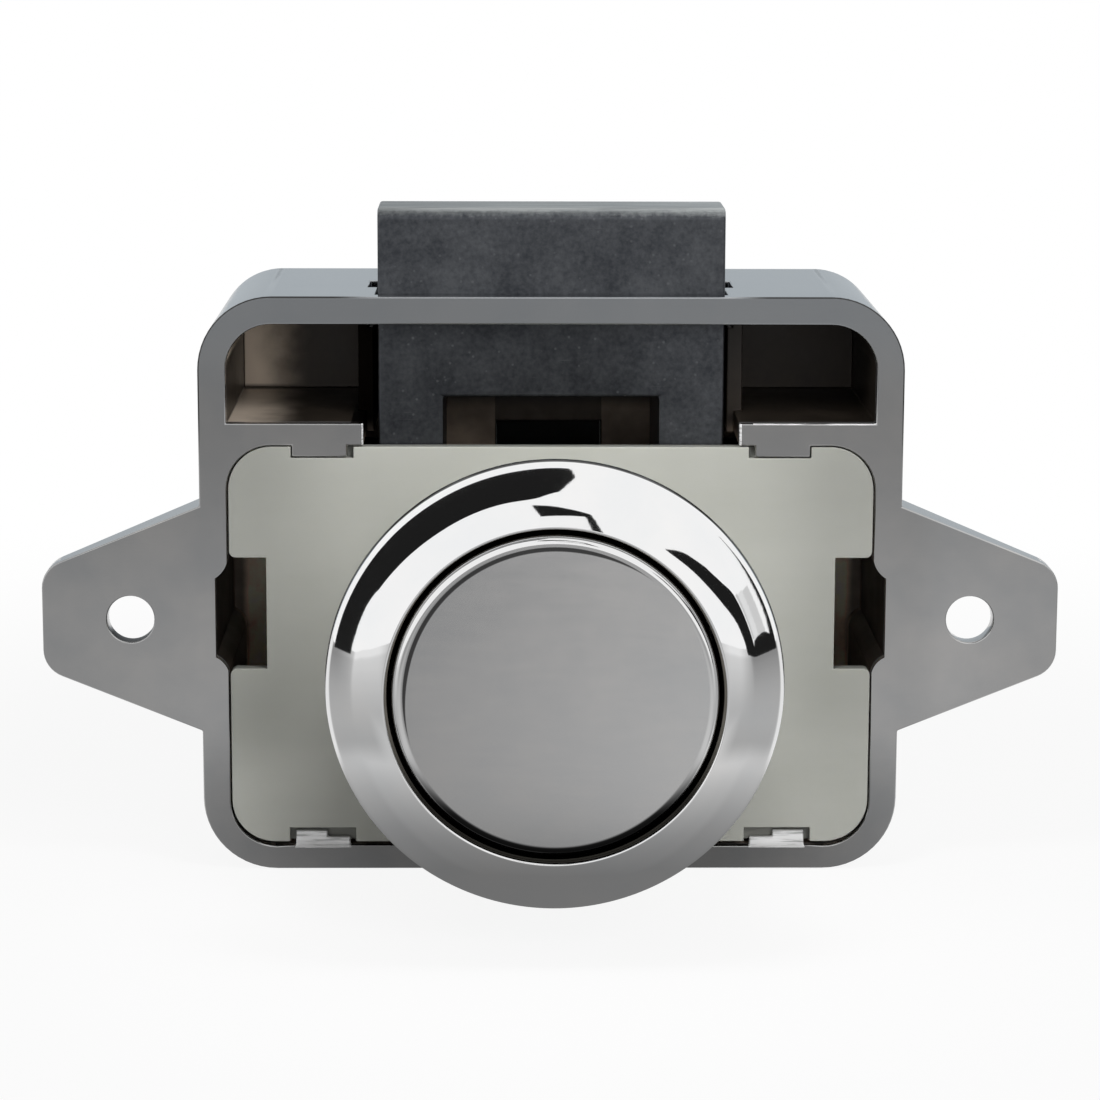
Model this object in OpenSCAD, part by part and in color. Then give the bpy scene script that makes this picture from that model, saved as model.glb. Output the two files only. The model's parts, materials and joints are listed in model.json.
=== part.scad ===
// Push button cabinet lock: a rim case with two screw ears, a nylon carrier, a bright rosette
// and button, and a spring bolt that the button draws down by a ramp.
// The origin is on the button's axis, in the plane of the case's front.
// +X is to the right, +Y goes into the cabinet and +Z is the way the bolt shoots.

/* [Case] */
// Width of the case between its side faces
case_w = 53.3; // [50:0.1:57]
// Top of the case above the button's axis
case_top = 24.7; // [24:0.1:27]
// Bottom of the case below the button's axis
case_bottom = 19.65; // [18.5:0.05:23]
// Depth of the case into the cabinet
case_depth = 21; // [20:0.1:25]
// Thickness of the side walls
side_wall = 2.1; // [1.6:0.1:2.6]
// Thickness of the top wall
top_wall = 2.1; // [1.5:0.1:2.6]
// Thickness of the bottom wall
bottom_wall = 1.8; // [1.4:0.1:2.4]
// Thickness of the back wall
back_wall = 1.8; // [1.4:0.1:2.4]
// Radius of the case's four corners
corner_r = 5.6; // [4.5:0.1:7]
// Radius of the edges round the back
back_edge_r = 1.6; // [0.8:0.1:2.4]
// Depth of the relief in each side wall, beside the carrier's notch
relief_depth = 1; // [0.6:0.05:1.2]
// Thickness of the two bars above the carrier
bar_t = 1.7; // [1.4:0.1:2.2]
// Underside of the bars above the button's axis
bar_z = 13.4; // [13.2:0.1:14.5]

/* [Ears] */
// Distance between the two screw holes
screw_spacing = 64; // [62:0.5:70]
// Diameter of a screw hole
screw_hole_d = 3.6; // [3:0.1:4.4]
// From a screw hole's centre to the end of its ear
ear_edge = 6.7; // [5:0.1:8]
// Height of an ear where it leaves the case
ear_root_h = 17.5; // [14:0.1:21]
// Height of an ear at its end
ear_tip_h = 7.8; // [7:0.1:10]
// Radius of an ear's end corners
ear_tip_r = 2.2; // [1:0.1:3]
// Thickness of an ear where it leaves the case
ear_root_t = 4.4; // [3:0.1:6]
// Thickness of an ear at its end
ear_tip_t = 2; // [1.5:0.1:3]
// Thickness left in front of the countersink in an ear's back
sink_web = 1.6; // [1.2:0.1:2.2]

/* [Carrier] */
// Thickness of the carrier's front plate
carrier_t = 1.3; // [1:0.1:1.8]
// Radius of the plate's corners
carrier_r = 3.3; // [2:0.1:4.5]
// Depth of the notch in each side of the plate
notch_depth = 2.8; // [2:0.1:3.5]
// Height of those notches
notch_h = 8.65; // [6:0.05:10]
// Middle of those notches above the button's axis
notch_z = 0.45; // [0:0.05:1.5]
// Length of the collar that the rosette slides on
collar_len = 9.5; // [8:0.1:10]
// Wall of the collar
collar_wall = 1.5; // [1.2:0.1:1.8]
// Wall of the plunger's guide tube
guide_wall = 1.2; // [0.8:0.1:1.6]
// Distance of the case's clamping tabs from the middle
tab_x = 17.5; // [16.8:0.1:18.2]
// Width of a clamping tab
tab_w = 4.2; // [3:0.1:5]
// Thickness of a clamping tab
tab_t = 0.7; // [0.5:0.05:0.9]
// How far an upper tab reaches over the plate
upper_tab_h = 0.85; // [0.6:0.05:1]
// How far a lower tab reaches over the plate
lower_tab_h = 1.15; // [0.9:0.05:1.5]

/* [Rosette] */
// Diameter of the rosette
rosette_d = 32.2; // [30:0.1:36]
// Height of the rosette in front of the door
rosette_h = 4.05; // [3.4:0.05:4.6]
// How far the inner band drops from the lip to the shoulder
band_drop = 1.05; // [0.7:0.05:1.4]
// Width of the flatter inner band
band_w = 2.15; // [1.6:0.05:2.6]
// Thickness of the rosette's outer edge
rosette_edge = 0.8; // [0.5:0.05:1.2]
// Thickness of the door between the case and the rosette
door_t = 22.3; // [21.5:0.1:24]
// Outer diameter of the sleeve that passes through the door
sleeve_d = 25.5; // [25:0.1:26.5]
// Wall of the sleeve
sleeve_wall = 1.05; // [0.9:0.05:1.3]
// How far the sleeve's front end stays behind the rosette's lip
lip_t = 0.8; // [0.5:0.05:1.2]
// How far the rosette can slide towards the case for a thinner door
rosette_travel = 3; // [1:0.1:3.2]

/* [Button] */
// How far the locked button's face lies behind the corner of the rosette's lip
cap_drop = 0.2; // [0:0.05:0.6]
// Wall of the button cap
cap_wall = 0.8; // [0.6:0.05:1]
// Radius round the button's face
cap_edge_r = 0.65; // [0.4:0.05:0.75]
// How far the button springs out when it is released
stroke = 10; // [9:0.1:10.4]
// How far the button goes past its locked place when it is pressed
over_press = 1; // [0.6:0.1:1.2]

/* [Plunger] */
// Diameter of the plunger's front part, which the guide tube holds
plunger_d = 14; // [13:0.1:14.6]
// Step of the shoulder that stops the plunger against the carrier
stop_step = 0.8; // [0.5:0.05:1]
// Depth of the flat under the plunger below its axis
flat_z = 6.4; // [6:0.1:6.6]
// Floor of the plunger's spring hole, behind the case's front
spring_floor_y = 7; // [6:0.1:8]
// Diameter of a cam pin
pin_d = 3; // [2.6:0.1:3.2]
// Material behind a cam pin in the plunger
pin_edge = 1.9; // [1.5:0.1:2.2]
// Diameter of the latch wire
wire_d = 1.2; // [1:0.1:1.3]
// Depth of the heart track
track_depth = 1.4; // [1:0.1:1.5]
// Half the width of the heart, between the middles of its two lanes
heart_w = 2.9; // [2.6:0.1:3.1]
// Material behind the heart track
track_wall = 0.8; // [0.5:0.1:1.2]

/* [Bolt] */
// Width of the bolt
bolt_w = 26.2; // [25:0.1:26.8]
// Thickness of the bolt's nose
bolt_t = 10; // [8:0.1:11]
// How far the bolt stands out of the case
bolt_reach = 6.5; // [5:0.1:7]
// Bolt travel for each millimetre of button travel
bolt_ratio = 0.75; // [0.65:0.01:0.78]
// Depth of the slope behind the bolt's nose
slope_depth = 4; // [2:0.1:5]
// Height of that slope
slope_h = 5; // [3:0.1:6]
// Room beside the plunger in the bolt's fork
fork_room = 0.4; // [0.3:0.05:0.8]
// Room above the plunger in the fork when the bolt is drawn in
crotch_room = 1.6; // [0.5:0.1:2.5]
// Thickness of the lug on each leg that the bolt spring lifts
lug_t = 2.6; // [2:0.1:2.8]

/* [Springs and fasteners] */
// Wire of a bolt spring
bolt_wire = 0.6; // [0.5:0.05:0.7]
// Diameter of a bolt spring at the middle of its wire
bolt_coil_d = 4.4; // [4.3:0.1:4.6]
// Turns of a bolt spring
bolt_turns = 11; // [8:1:13]
// Distance of the bolt springs behind the case's front
spring_y = 10; // [9:0.1:12]
// Diameter of the rods inside the bolt springs
rod_d = 2.4; // [2:0.1:2.6]
// Wire of the plunger's spring
plunger_wire = 0.8; // [0.6:0.05:0.9]
// Diameter of the plunger's spring at the middle of its wire
plunger_coil_d = 7.1; // [6.8:0.1:7.4]
// Turns of the plunger's spring
plunger_turns = 6; // [4:1:7]
// Length of the case's boss inside the plunger's spring
boss_len = 4; // [2:0.1:4.5]
// Hole in the back for the screwdriver
driver_hole_d = 3.8; // [3:0.1:4.2]
// Diameter of the button screw
screw_d = 3; // [2.6:0.1:3.4]
// Diameter of the button screw's head
screw_head_d = 5.4; // [4.6:0.1:5.8]
// Height of the button screw's head
screw_head_h = 2; // [1.5:0.1:2.4]
// How far the button screw goes into the button
screw_grip = 8; // [6:0.1:9]
// Thickness of the washer under the plunger's spring
washer_t = 0.8; // [0.5:0.1:1]
// Thickness of the plate that clamps the latch wire
keeper_t = 0.6; // [0.5:0.05:0.8]
// Diameter of that plate's screws
keeper_screw_d = 2; // [1.6:0.1:2.2]

/* [Clearances] */
// Between the carrier and the case
carrier_gap = 0.1; // [0.05:0.05:0.15]
// Between the carrier's lower edge and the case
carrier_low_gap = 0.35; // [0.1:0.05:0.45]
// Beside a clamping tab in the carrier's recess, where the tab is pressed in
tab_side_gap = 0.45; // [0.1:0.05:0.6]
// Between a sliding round part and its guide
slide_gap = 0.08; // [0.04:0.01:0.1]
// Between a pressed round part and its hole
seat_gap = 0.02; // [0.01:0.01:0.04]
// Between the button and the sleeve
button_gap = 0.3; // [0.2:0.05:0.4]
// Between parts that move past each other
free_gap = 0.3; // [0.2:0.05:0.4]
// Between the bolt's sides and its slot in the case
slot_gap = 0.15; // [0.1:0.01:0.3]
// Between a cam pin and its ramp
ramp_gap = 0.12; // [0.08:0.01:0.2]
// Between a spring and the hole or boss that holds it straight
spring_gap = 0.25; // [0.15:0.05:0.35]

/* [Hidden] */
$fn = 64;
// Overlap of cutting shapes past the faces that they cut
cut = 1;
// Rings in one turn of a spring and sides of its wire
turn_rings = 8;
wire_sides = 6;

// The case's inside
half_w = case_w / 2;
inner_half_w = half_w - side_wall;
inner_top = case_top - top_wall;
inner_bottom = case_bottom - bottom_wall;
inner_back = case_depth - back_wall;
inner_r = corner_r - side_wall;
ear_reach = screw_spacing / 2 + ear_edge;
bar_room = 1.1;
bar_end = bolt_w / 2 + bar_room;
rail_w = 1.2;
ledge_t = 3;
ledge_w = 4.6;
ledge_h = 0.9;
relief_drop = 0.5;
relief_low_h = 1.4;
relief_high_h = 1.6;
relief_start = 5;
notch_mouth_r = 0.5;
pocket_w = 8.5;
pocket_h = 8;
pocket_depth = 0.9;
pocket_drop = 1;
slot_notch_w = 0.75;
slot_notch_front = 5;
slot_notch_len = 4.5;
tab_lean = 20;
tab_step = 0.5;
tab_step_share = 0.42;
tab_room_h = 0.3;

// The front, measured forwards from the case's front
lip_front = door_t + rosette_h;
sleeve_front = lip_front - lip_t;
sleeve_stop = 2;
sleeve_back = rosette_travel + sleeve_stop;
sleeve_inner_d = sleeve_d - 2 * sleeve_wall;
lip_step = 0.15;
lip_d = sleeve_inner_d + 2 * lip_step;
rosette_edge_r = 0.5;
shoulder_r = 2.2;
lip_r = 0.25;
collar_d = sleeve_inner_d - 2 * slide_gap;
guide_d = plunger_d + 2 * slide_gap;
cap_d = sleeve_inner_d - 2 * button_gap;
cap_room = 0.75;
cap_back = collar_len + over_press + cap_room;
cap_front = lip_front - cap_drop;
core_d = cap_d - 2 * cap_wall - 2 * seat_gap;
core_front = cap_front - cap_wall;
core_plate = 4.5;
core_setback = 2.5;
core_boss_d = 10;
plunger_lead = 2.5;
plunger_front = collar_len + plunger_lead;

// The mechanism behind the carrier
bolt_travel = stroke * bolt_ratio;
bolt_front = carrier_t + free_gap;
bolt_edge_r = 0.9;
slope_edge_r = 0.6;
plunger_rear_d = plunger_d + 2 * stop_step;
plunger_back = inner_back - over_press - free_gap;
fork_gap = plunger_rear_d + 2 * fork_room;
crotch_z = plunger_rear_d / 2 + bolt_travel + crotch_room;
leg_back = inner_back - 2 * free_gap;
leg_bottom = -inner_bottom + bolt_travel + 2 * free_gap;
leg_top = inner_top - over_press * bolt_ratio - free_gap;
stop_y = carrier_t + stroke + free_gap;
spring_hole_d = plunger_coil_d + plunger_wire + 2 * spring_gap;
boss_d = plunger_coil_d - plunger_wire - 4 * spring_gap;
pin_wall = 0.8;
pin_y = plunger_back - pin_d / 2 - pin_edge;
pin_inner = spring_hole_d / 2 + pin_wall;
pin_setback = 0.4;
pin_outer = bolt_w / 2 - pin_setback;
pin_room = pin_d / 2 + ramp_gap;
lug_wall = 1.5;
lug_depth = 6;
lug_z = bar_z - 2 * free_gap - over_press * bolt_ratio - lug_t;
spring_room = 0.4;
spring_x = bolt_w / 2 + (bolt_coil_d + bolt_wire) / 2 + spring_room;
rod_boss_d = bolt_coil_d - bolt_wire - 2 * spring_gap;
rod_boss_h = 3;
rod_seat = 0.8;
rod_len = bar_z + inner_bottom + rod_seat;

// The latch, with the heart track in the plunger's place when locked
track_w = wire_d + 2 * free_gap;
track_r = 0.6;
home_y = plunger_back - track_wall - track_w / 2;
hook_y = home_y - stroke;
track_front = hook_y - over_press - ramp_gap;
heart_tail = 3.6;
heart_back = home_y - heart_tail;
horn_share = 0.55;
wire_room = 0.5;
wire_z = -flat_z - wire_d / 2 - wire_room;
pad_t = 4.1;
pad_front = inner_back - pad_t;
wire_root_y = pad_front + wire_d / 2;
pad_w = 11;
pad_drop = 1;
pad_top = wire_z - wire_d / 2 - pad_drop;
pad_bottom = -inner_bottom + pad_drop;
keeper_h = 5;
keeper_z = (pad_top + pad_bottom) / 2;
keeper_screw_x = 3.4;
keeper_screw_len = 3;
keeper_head_d = 3.4;
keeper_head_h = 1.1;
recess_w = 0.8;
recess_depth = 1;
recess_share = 0.7;
recess_len = screw_head_d * recess_share;

// Colours of the finishes
chrome = [0.78, 0.79, 0.81];
ivory = [0.80, 0.80, 0.74];
zinc = [0.45, 0.47, 0.49];
brass = [0.62, 0.50, 0.34];
black_plastic = [0.12, 0.12, 0.13];
spring_steel = [0.55, 0.55, 0.56];
bright_steel = [0.66, 0.67, 0.69];

// Unit vector along v
function unit(v) = v / norm(v);

// Half the angle at corner i of an outline
function half_angle(points, i) =
    let (
        count = len(points),
        before = unit(points[(i + count - 1) % count] - points[i]),
        after = unit(points[(i + 1) % count] - points[i])
    )
    acos(before * after) / 2;

// Where a circle of radius r in corner i touches the side towards corner j
function touch(points, i, j, r) =
    points[i] + unit(points[j] - points[i]) * r / tan(half_angle(points, i));

// The centre of that circle
function corner_centre(points, i, r) =
    let (
        count = len(points),
        before = unit(points[(i + count - 1) % count] - points[i]),
        after = unit(points[(i + 1) % count] - points[i])
    )
    points[i] + unit(before + after) * r / sin(half_angle(points, i));

// A convex outline whose corner i is rounded with radii[i]
module rounded(points, radii) {
    count = len(points);
    polygon([
        for (i = [0 : count - 1])
            each radii[i] > 0
                ? [
                    touch(points, i, (i + count - 1) % count, radii[i]),
                    touch(points, i, (i + 1) % count, radii[i])
                ]
                : [points[i]]
    ]);
    for (i = [0 : count - 1])
        if (radii[i] > 0)
            translate(corner_centre(points, i, radii[i]))
                circle(r = radii[i]);
}

// A rectangle from low to high with rounded corners
module rounded_box(low, high, r) {
    rounded([low, [high[0], low[1]], high, [low[0], high[1]]], [r, r, r, r]);
}

// Extrudes an outline drawn in X and Z from y0 to y1
module along_y(y0, y1) {
    translate([0, y1, 0])
        rotate([90, 0, 0])
            linear_extrude(y1 - y0)
                children();
}

// Extrudes an outline drawn in Y and Z from x0 to x1
module along_x(x0, x1) {
    translate([x0, 0, 0])
        rotate([90, 0, 90])
            linear_extrude(x1 - x0)
                children();
}

// A box between two corners
module block(low, high) {
    translate(low)
        cube(high - low);
}

// A round bar along Y
module round_y(y0, y1, d) {
    translate([0, y1, 0])
        rotate([90, 0, 0])
            cylinder(h = y1 - y0, d = d);
}

// A round bar along X
module round_x(x0, x1, d) {
    translate([x0, 0, 0])
        rotate([0, 90, 0])
            cylinder(h = x1 - x0, d = d);
}

// The children and their mirror image on the left
module both_sides() {
    children();
    mirror([1, 0, 0])
        children();
}

// Turns an outline of radius and forward distance about the button's axis
module turned() {
    rotate([90, 0, 0])
        rotate_extrude()
            children();
}

// A ring between two radii
module ring(front, back, inner_d, outer_d) {
    turned()
        translate([inner_d / 2, back])
            square([(outer_d - inner_d) / 2, front - back]);
}

// Middle line of a spring that stands on z0: a straight end, the turns and a straight end
function coil_path(d, z0, z1, turns, wire) =
    let (
        steps = turns * turn_rings,
        low = z0 + wire,
        rise = (z1 - z0 - 2 * wire) / steps
    )
    [
        [d / 2, 0, z0],
        for (i = [0 : steps])
            [d / 2 * cos(i * 360 / turn_rings), d / 2 * sin(i * 360 / turn_rings), low + i * rise],
        [d / 2, 0, z1]
    ];

// Direction of a path at its point i
function heading(path, i) = unit(path[min(i + 1, len(path) - 1)] - path[max(i - 1, 0)]);

// The ring of points round a spring's middle line at its point i
function wire_ring(path, i, wire) =
    let (
        out = unit([path[i][0], path[i][1], 0]),
        side = unit(cross(heading(path, i), out)),
        flat_out = cross(side, heading(path, i))
    )
    [
        for (k = [0 : wire_sides - 1])
            path[i] + wire / 2 * (flat_out * cos(k * 360 / wire_sides) + side * sin(k * 360 / wire_sides))
    ];

// Least gap between turns of a spring, measured on its middle line
function turn_gap(path, wire) =
    min([
        for (i = [0 : len(path) - 1])
            for (j = [i + turn_rings - 2 : 1 : len(path) - 1])
                norm(path[i] - path[j]) - wire
    ]);

// A coil spring along Z, as one unbroken tube
module coil(d, z0, z1, turns, wire) {
    path = coil_path(d, z0, z1, turns, wire);
    last = len(path) - 1;
    points = [for (i = [0 : last]) each wire_ring(path, i, wire)];
    skin = [
        for (i = [0 : last - 1])
            for (k = [0 : wire_sides - 1])
                let (
                    a = i * wire_sides + k,
                    b = i * wire_sides + (k + 1) % wire_sides
                )
                each [[a, b, b + wire_sides], [a, b + wire_sides, a + wire_sides]]
    ];
    first_cap = [for (k = [1 : wire_sides - 2]) [0, k + 1, k]];
    last_cap = [
        for (k = [1 : wire_sides - 2])
            [last * wire_sides, last * wire_sides + k, last * wire_sides + k + 1]
    ];
    echo("least gap between turns", turn_gap(path, wire));
    polyhedron(points, concat(skin, first_cap, last_cap));
}

// Outline of the case, in X and Z
module case_outline() {
    rounded_box([-half_w, -case_bottom], [half_w, case_top], corner_r);
}

// The case's outer body, with round edges at the back
module case_body() {
    r = back_edge_r;
    intersection() {
        along_y(0, case_depth)
            case_outline();
        translate([0, 0, -case_bottom - cut])
            linear_extrude(case_top + case_bottom + 2 * cut)
                rounded(
                    [[-half_w, 0], [half_w, 0], [half_w, case_depth], [-half_w, case_depth]],
                    [0, 0, r, r]
                );
        along_x(-half_w - cut, half_w + cut)
            rounded(
                [[0, -case_bottom], [case_depth, -case_bottom], [case_depth, case_top], [0, case_top]],
                [0, r, r, 0]
            );
    }
}

// The ear on the right, thinner towards its end
module ear() {
    root = half_w - side_wall / 2;
    intersection() {
        along_y(0, ear_root_t)
            rounded(
                [
                    [root, -ear_root_h / 2],
                    [half_w, -ear_root_h / 2],
                    [ear_reach, -ear_tip_h / 2],
                    [ear_reach, ear_tip_h / 2],
                    [half_w, ear_root_h / 2],
                    [root, ear_root_h / 2]
                ],
                [0, 0, ear_tip_r, ear_tip_r, 0, 0]
            );
        translate([0, 0, -ear_root_h])
            linear_extrude(2 * ear_root_h)
                polygon([
                    [root, 0],
                    [ear_reach, 0],
                    [ear_reach, ear_tip_t],
                    [half_w, ear_root_t],
                    [root, ear_root_t]
                ]);
    }
}

// The screw hole in the ear on the right, countersunk from the back
module screw_hole() {
    sink = ear_root_t + cut - sink_web;
    translate([screw_spacing / 2, 0, 0]) {
        round_y(-cut, ear_root_t + cut, screw_hole_d);
        translate([0, ear_root_t + cut, 0])
            rotate([90, 0, 0])
                cylinder(h = sink, d1 = screw_hole_d + 2 * sink, d2 = screw_hole_d);
    }
}

// Radius of a curved end of the relief, which leaves the wall at relief_start degrees
function relief_r(h) =
    (relief_depth * relief_depth + h * h)
    / (2 * (relief_depth * cos(relief_start) - h * sin(relief_start)));

// Outline of the relief in the side wall on the right, with curved ends
module relief_outline() {
    low = notch_z - notch_h / 2 - relief_drop;
    high = notch_z + notch_h / 2;
    low_r = relief_r(relief_low_h);
    high_r = relief_r(relief_high_h);
    difference() {
        translate([inner_half_w - cut, low])
            square([relief_depth + cut, high - low]);
        translate([inner_half_w + low_r * cos(relief_start), low - low_r * sin(relief_start)])
            circle(low_r);
        translate([inner_half_w + high_r * cos(relief_start), high + high_r * sin(relief_start)])
            circle(high_r);
    }
}

// The hollow of the case, with the relief in each side wall
module case_hollow() {
    along_y(-cut, inner_back)
        rounded_box([-inner_half_w, -inner_bottom], [inner_half_w, inner_top], inner_r);
    both_sides()
        along_y(-cut, inner_back)
            relief_outline();
}

// The slot in the top wall, with its relief notches
module bolt_slot() {
    side = bolt_w / 2 + slot_gap;
    front = bolt_front - free_gap;
    notch = front + slot_notch_front;
    block([-side, front, inner_top - cut], [side, bolt_front + bolt_t + free_gap, case_top + cut]);
    block(
        [-side - slot_notch_w, notch, inner_top - cut],
        [side + slot_notch_w, notch + slot_notch_len, case_top + cut]
    );
}

// What fills the corner under the bar round the plate, on the right
module plate_corner() {
    r = carrier_r + carrier_gap;
    translate([inner_half_w - r, bar_z - r])
        difference() {
            square([r + side_wall / 2, r + bar_t / 2]);
            circle(r);
        }
}

// Part of a lower clamping tab from x0 to x1, pressed back over the plate
module lower_tab(x0, x1, h) {
    along_x(x0, x1)
        polygon([
            [0, -inner_bottom - bottom_wall / 2],
            [tab_t, -inner_bottom - bottom_wall / 2],
            [tab_t, -inner_bottom + h],
            [h * tan(tab_lean), -inner_bottom + h],
            [0, -inner_bottom]
        ]);
}

// What stands inside the case on the right: bar, tabs, ledges and rail
module case_fittings() {
    wall = inner_half_w + side_wall / 2;
    tab_inner = tab_x - tab_w / 2;
    tab_outer = tab_x + tab_w / 2;
    block([bar_end, 0, bar_z], [wall, inner_back + back_wall / 2, bar_z + bar_t]);
    block([tab_inner, 0, bar_z - upper_tab_h], [tab_outer, tab_t, bar_z + bar_t / 2]);
    along_y(0, carrier_t + ledge_t / 2)
        plate_corner();
    lower_tab(tab_inner, tab_outer, lower_tab_h - tab_step);
    lower_tab(tab_inner + tab_w * tab_step_share, tab_outer, lower_tab_h);
    block(
        [inner_half_w - ledge_w, carrier_t, bar_z - ledge_h],
        [wall, carrier_t + ledge_t, bar_z + bar_t / 2]
    );
    block(
        [inner_half_w - ledge_w, carrier_t, -inner_bottom - bottom_wall / 2],
        [inner_half_w - carrier_r, carrier_t + ledge_t, -inner_bottom + ledge_h]
    );
    block(
        [bar_end - rail_w / 2, bolt_front + bolt_t / 2, bar_z],
        [bar_end + rail_w / 2, inner_back + back_wall / 2, inner_top + top_wall / 2]
    );
    translate([spring_x, spring_y, -inner_bottom - bottom_wall / 2])
        cylinder(h = rod_boss_h + bottom_wall / 2, d = rod_boss_d);
}

// Both seats of the rod inside a bolt spring, on the right
module rod_seats() {
    translate([spring_x, spring_y, -inner_bottom])
        cylinder(h = rod_len, d = rod_d + 2 * seat_gap);
}

// The pad on the back wall that holds the latch wire, with its groove and screw holes
module wire_pad() {
    difference() {
        block([-pad_w / 2, pad_front, pad_bottom], [pad_w / 2, inner_back + back_wall / 2, pad_top]);
        block(
            [-wire_d / 2 - seat_gap, pad_front - cut, keeper_z - keeper_h / 2],
            [wire_d / 2 + seat_gap, wire_root_y + wire_d / 2 + seat_gap, pad_top + cut]
        );
        both_sides()
            translate([keeper_screw_x, 0, keeper_z])
                round_y(pad_front - cut, pad_front + keeper_screw_len, keeper_screw_d + 2 * seat_gap);
    }
}

module case() {
    color(chrome)
        difference() {
            union() {
                difference() {
                    union() {
                        case_body();
                        both_sides()
                            ear();
                    }
                    case_hollow();
                    block(
                        [-pocket_w / 2, inner_back - cut, bar_z - pocket_drop - pocket_h],
                        [pocket_w / 2, inner_back + pocket_depth, bar_z - pocket_drop]
                    );
                }
                both_sides()
                    case_fittings();
                round_y(inner_back - boss_len, inner_back + back_wall / 2, boss_d);
                wire_pad();
            }
            bolt_slot();
            both_sides()
                rod_seats();
            both_sides()
                screw_hole();
            round_y(inner_back - boss_len - cut, case_depth + cut, driver_hole_d);
        }
}

// Outline of the carrier's plate
module carrier_outline() {
    side = inner_half_w - carrier_gap;
    rounded_box([-side, -inner_bottom + carrier_low_gap], [side, bar_z - carrier_gap], carrier_r);
}

// Room for a clamping tab in the plate's front, on the right
module tab_room() {
    inner = tab_x - tab_w / 2 - tab_side_gap;
    outer = tab_x + tab_w / 2;
    floor_y = tab_t + carrier_gap / 2;
    block(
        [inner, -cut, bar_z - upper_tab_h - carrier_gap],
        [outer + carrier_gap, floor_y, bar_z + cut]
    );
    block(
        [inner, -cut, -inner_bottom - cut],
        [outer + tab_side_gap, floor_y, -inner_bottom + lower_tab_h + tab_room_h]
    );
}

// The notch in the plate's right side, with its mouth rounded above and below
module side_notch() {
    side = inner_half_w - carrier_gap;
    r = notch_mouth_r;
    translate([side - notch_depth, notch_z - notch_h / 2])
        square([notch_depth + cut, notch_h]);
    for (end = [-1, 1])
        translate([side - r, notch_z + end * (notch_h / 2 + r)])
            difference() {
                translate([0, end > 0 ? -r - cut : 0])
                    square([r + cut, r + cut]);
                circle(r);
            }
}

module carrier() {
    guide_x = bolt_w / 2 + free_gap;
    color(ivory)
        difference() {
            union() {
                along_y(0, carrier_t)
                    carrier_outline();
                ring(collar_len, -carrier_t / 2, collar_d - 2 * collar_wall, collar_d);
                ring(collar_len, -carrier_t / 2, guide_d, guide_d + 2 * guide_wall);
                both_sides()
                    block(
                        [guide_x, carrier_t / 2, -inner_bottom + ledge_h],
                        [guide_x + rail_w, carrier_t + ledge_t, bar_z - ledge_h]
                    );
            }
            round_y(-cut, carrier_t + cut, guide_d);
            both_sides()
                tab_room();
            both_sides()
                along_y(-cut, carrier_t + cut)
                    side_notch();
        }
}

module rosette() {
    rim = rosette_d / 2;
    seat = sleeve_d / 2 + seat_gap;
    color(chrome)
        turned()
            difference() {
                intersection() {
                    rounded(
                        [
                            [lip_d / 2, door_t],
                            [rim, door_t],
                            [rim, door_t + rosette_edge],
                            [lip_d / 2 + band_w, lip_front - band_drop],
                            [lip_d / 2, lip_front]
                        ],
                        [0, 0, rosette_edge_r, shoulder_r, lip_r]
                    );
                    translate([lip_d / 2, door_t])
                        square([rim, rosette_h]);
                }
                translate([0, door_t - cut])
                    square([seat, rosette_h - lip_t + cut]);
            }
}

module rosette_sleeve() {
    color(brass)
        ring(sleeve_front, sleeve_back, sleeve_inner_d, sleeve_d);
}

module button_cap() {
    side = cap_d / 2;
    color(chrome)
        turned()
            difference() {
                rounded(
                    [[0, cap_back], [side, cap_back], [side, cap_front], [0, cap_front]],
                    [0, 0, cap_edge_r, 0]
                );
                translate([0, cap_back - cut])
                    square([side - cap_wall, core_front - cap_back + cut]);
            }
}

module button_core() {
    color(black_plastic)
        difference() {
            union() {
                ring(core_front, core_front - core_plate, 0, core_d);
                ring(core_front - core_plate, cap_back + core_setback, core_d - 2 * collar_wall, core_d);
                ring(core_front - core_plate, plunger_front, 0, core_boss_d);
            }
            round_y(-plunger_front - screw_grip, -plunger_front + cut, screw_d);
        }
}

// The cross recess in the head of the button screw
module cross_recess(top) {
    for (turn = [0, 90])
        rotate([0, turn, 0])
            block(
                [-recess_len / 2, top - recess_depth, -recess_w / 2],
                [recess_len / 2, top + cut, recess_w / 2]
            );
}

module button_screw() {
    head = spring_floor_y + washer_t;
    color(bright_steel)
        difference() {
            union() {
                round_y(-plunger_front - screw_grip, head, screw_d);
                round_y(head, head + screw_head_h, screw_head_d);
            }
            cross_recess(head + screw_head_h);
        }
}

module spring_washer() {
    front = -spring_floor_y;
    color(bright_steel)
        ring(front, front - washer_t, screw_d + 2 * slide_gap, spring_hole_d - 2 * slide_gap);
}

// The heart track under the plunger: a pocket round a heart, whose front notch holds the hook
module heart_track() {
    outer = heart_w + track_w / 2;
    inner = heart_w - track_w / 2;
    front = track_front - track_w / 2;
    back = home_y + track_w / 2;
    notch_y = hook_y + (wire_d / 2 + ramp_gap) * sqrt(2);
    horn = inner * horn_share;
    translate([0, 0, -flat_z - cut])
        linear_extrude(track_depth + cut)
            difference() {
                rounded(
                    [
                        [-outer, front], [outer, front], [outer, heart_back],
                        [track_w / 2, back], [-track_w / 2, back], [-outer, heart_back]
                    ],
                    [track_r, track_r, track_r, track_r, track_r, track_r]
                );
                polygon([
                    [0, notch_y],
                    [horn, notch_y - horn],
                    [inner, notch_y],
                    [inner, heart_back],
                    [0, home_y - track_w / 2],
                    [-inner, heart_back],
                    [-inner, notch_y],
                    [-horn, notch_y - horn]
                ]);
            }
}

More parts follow.
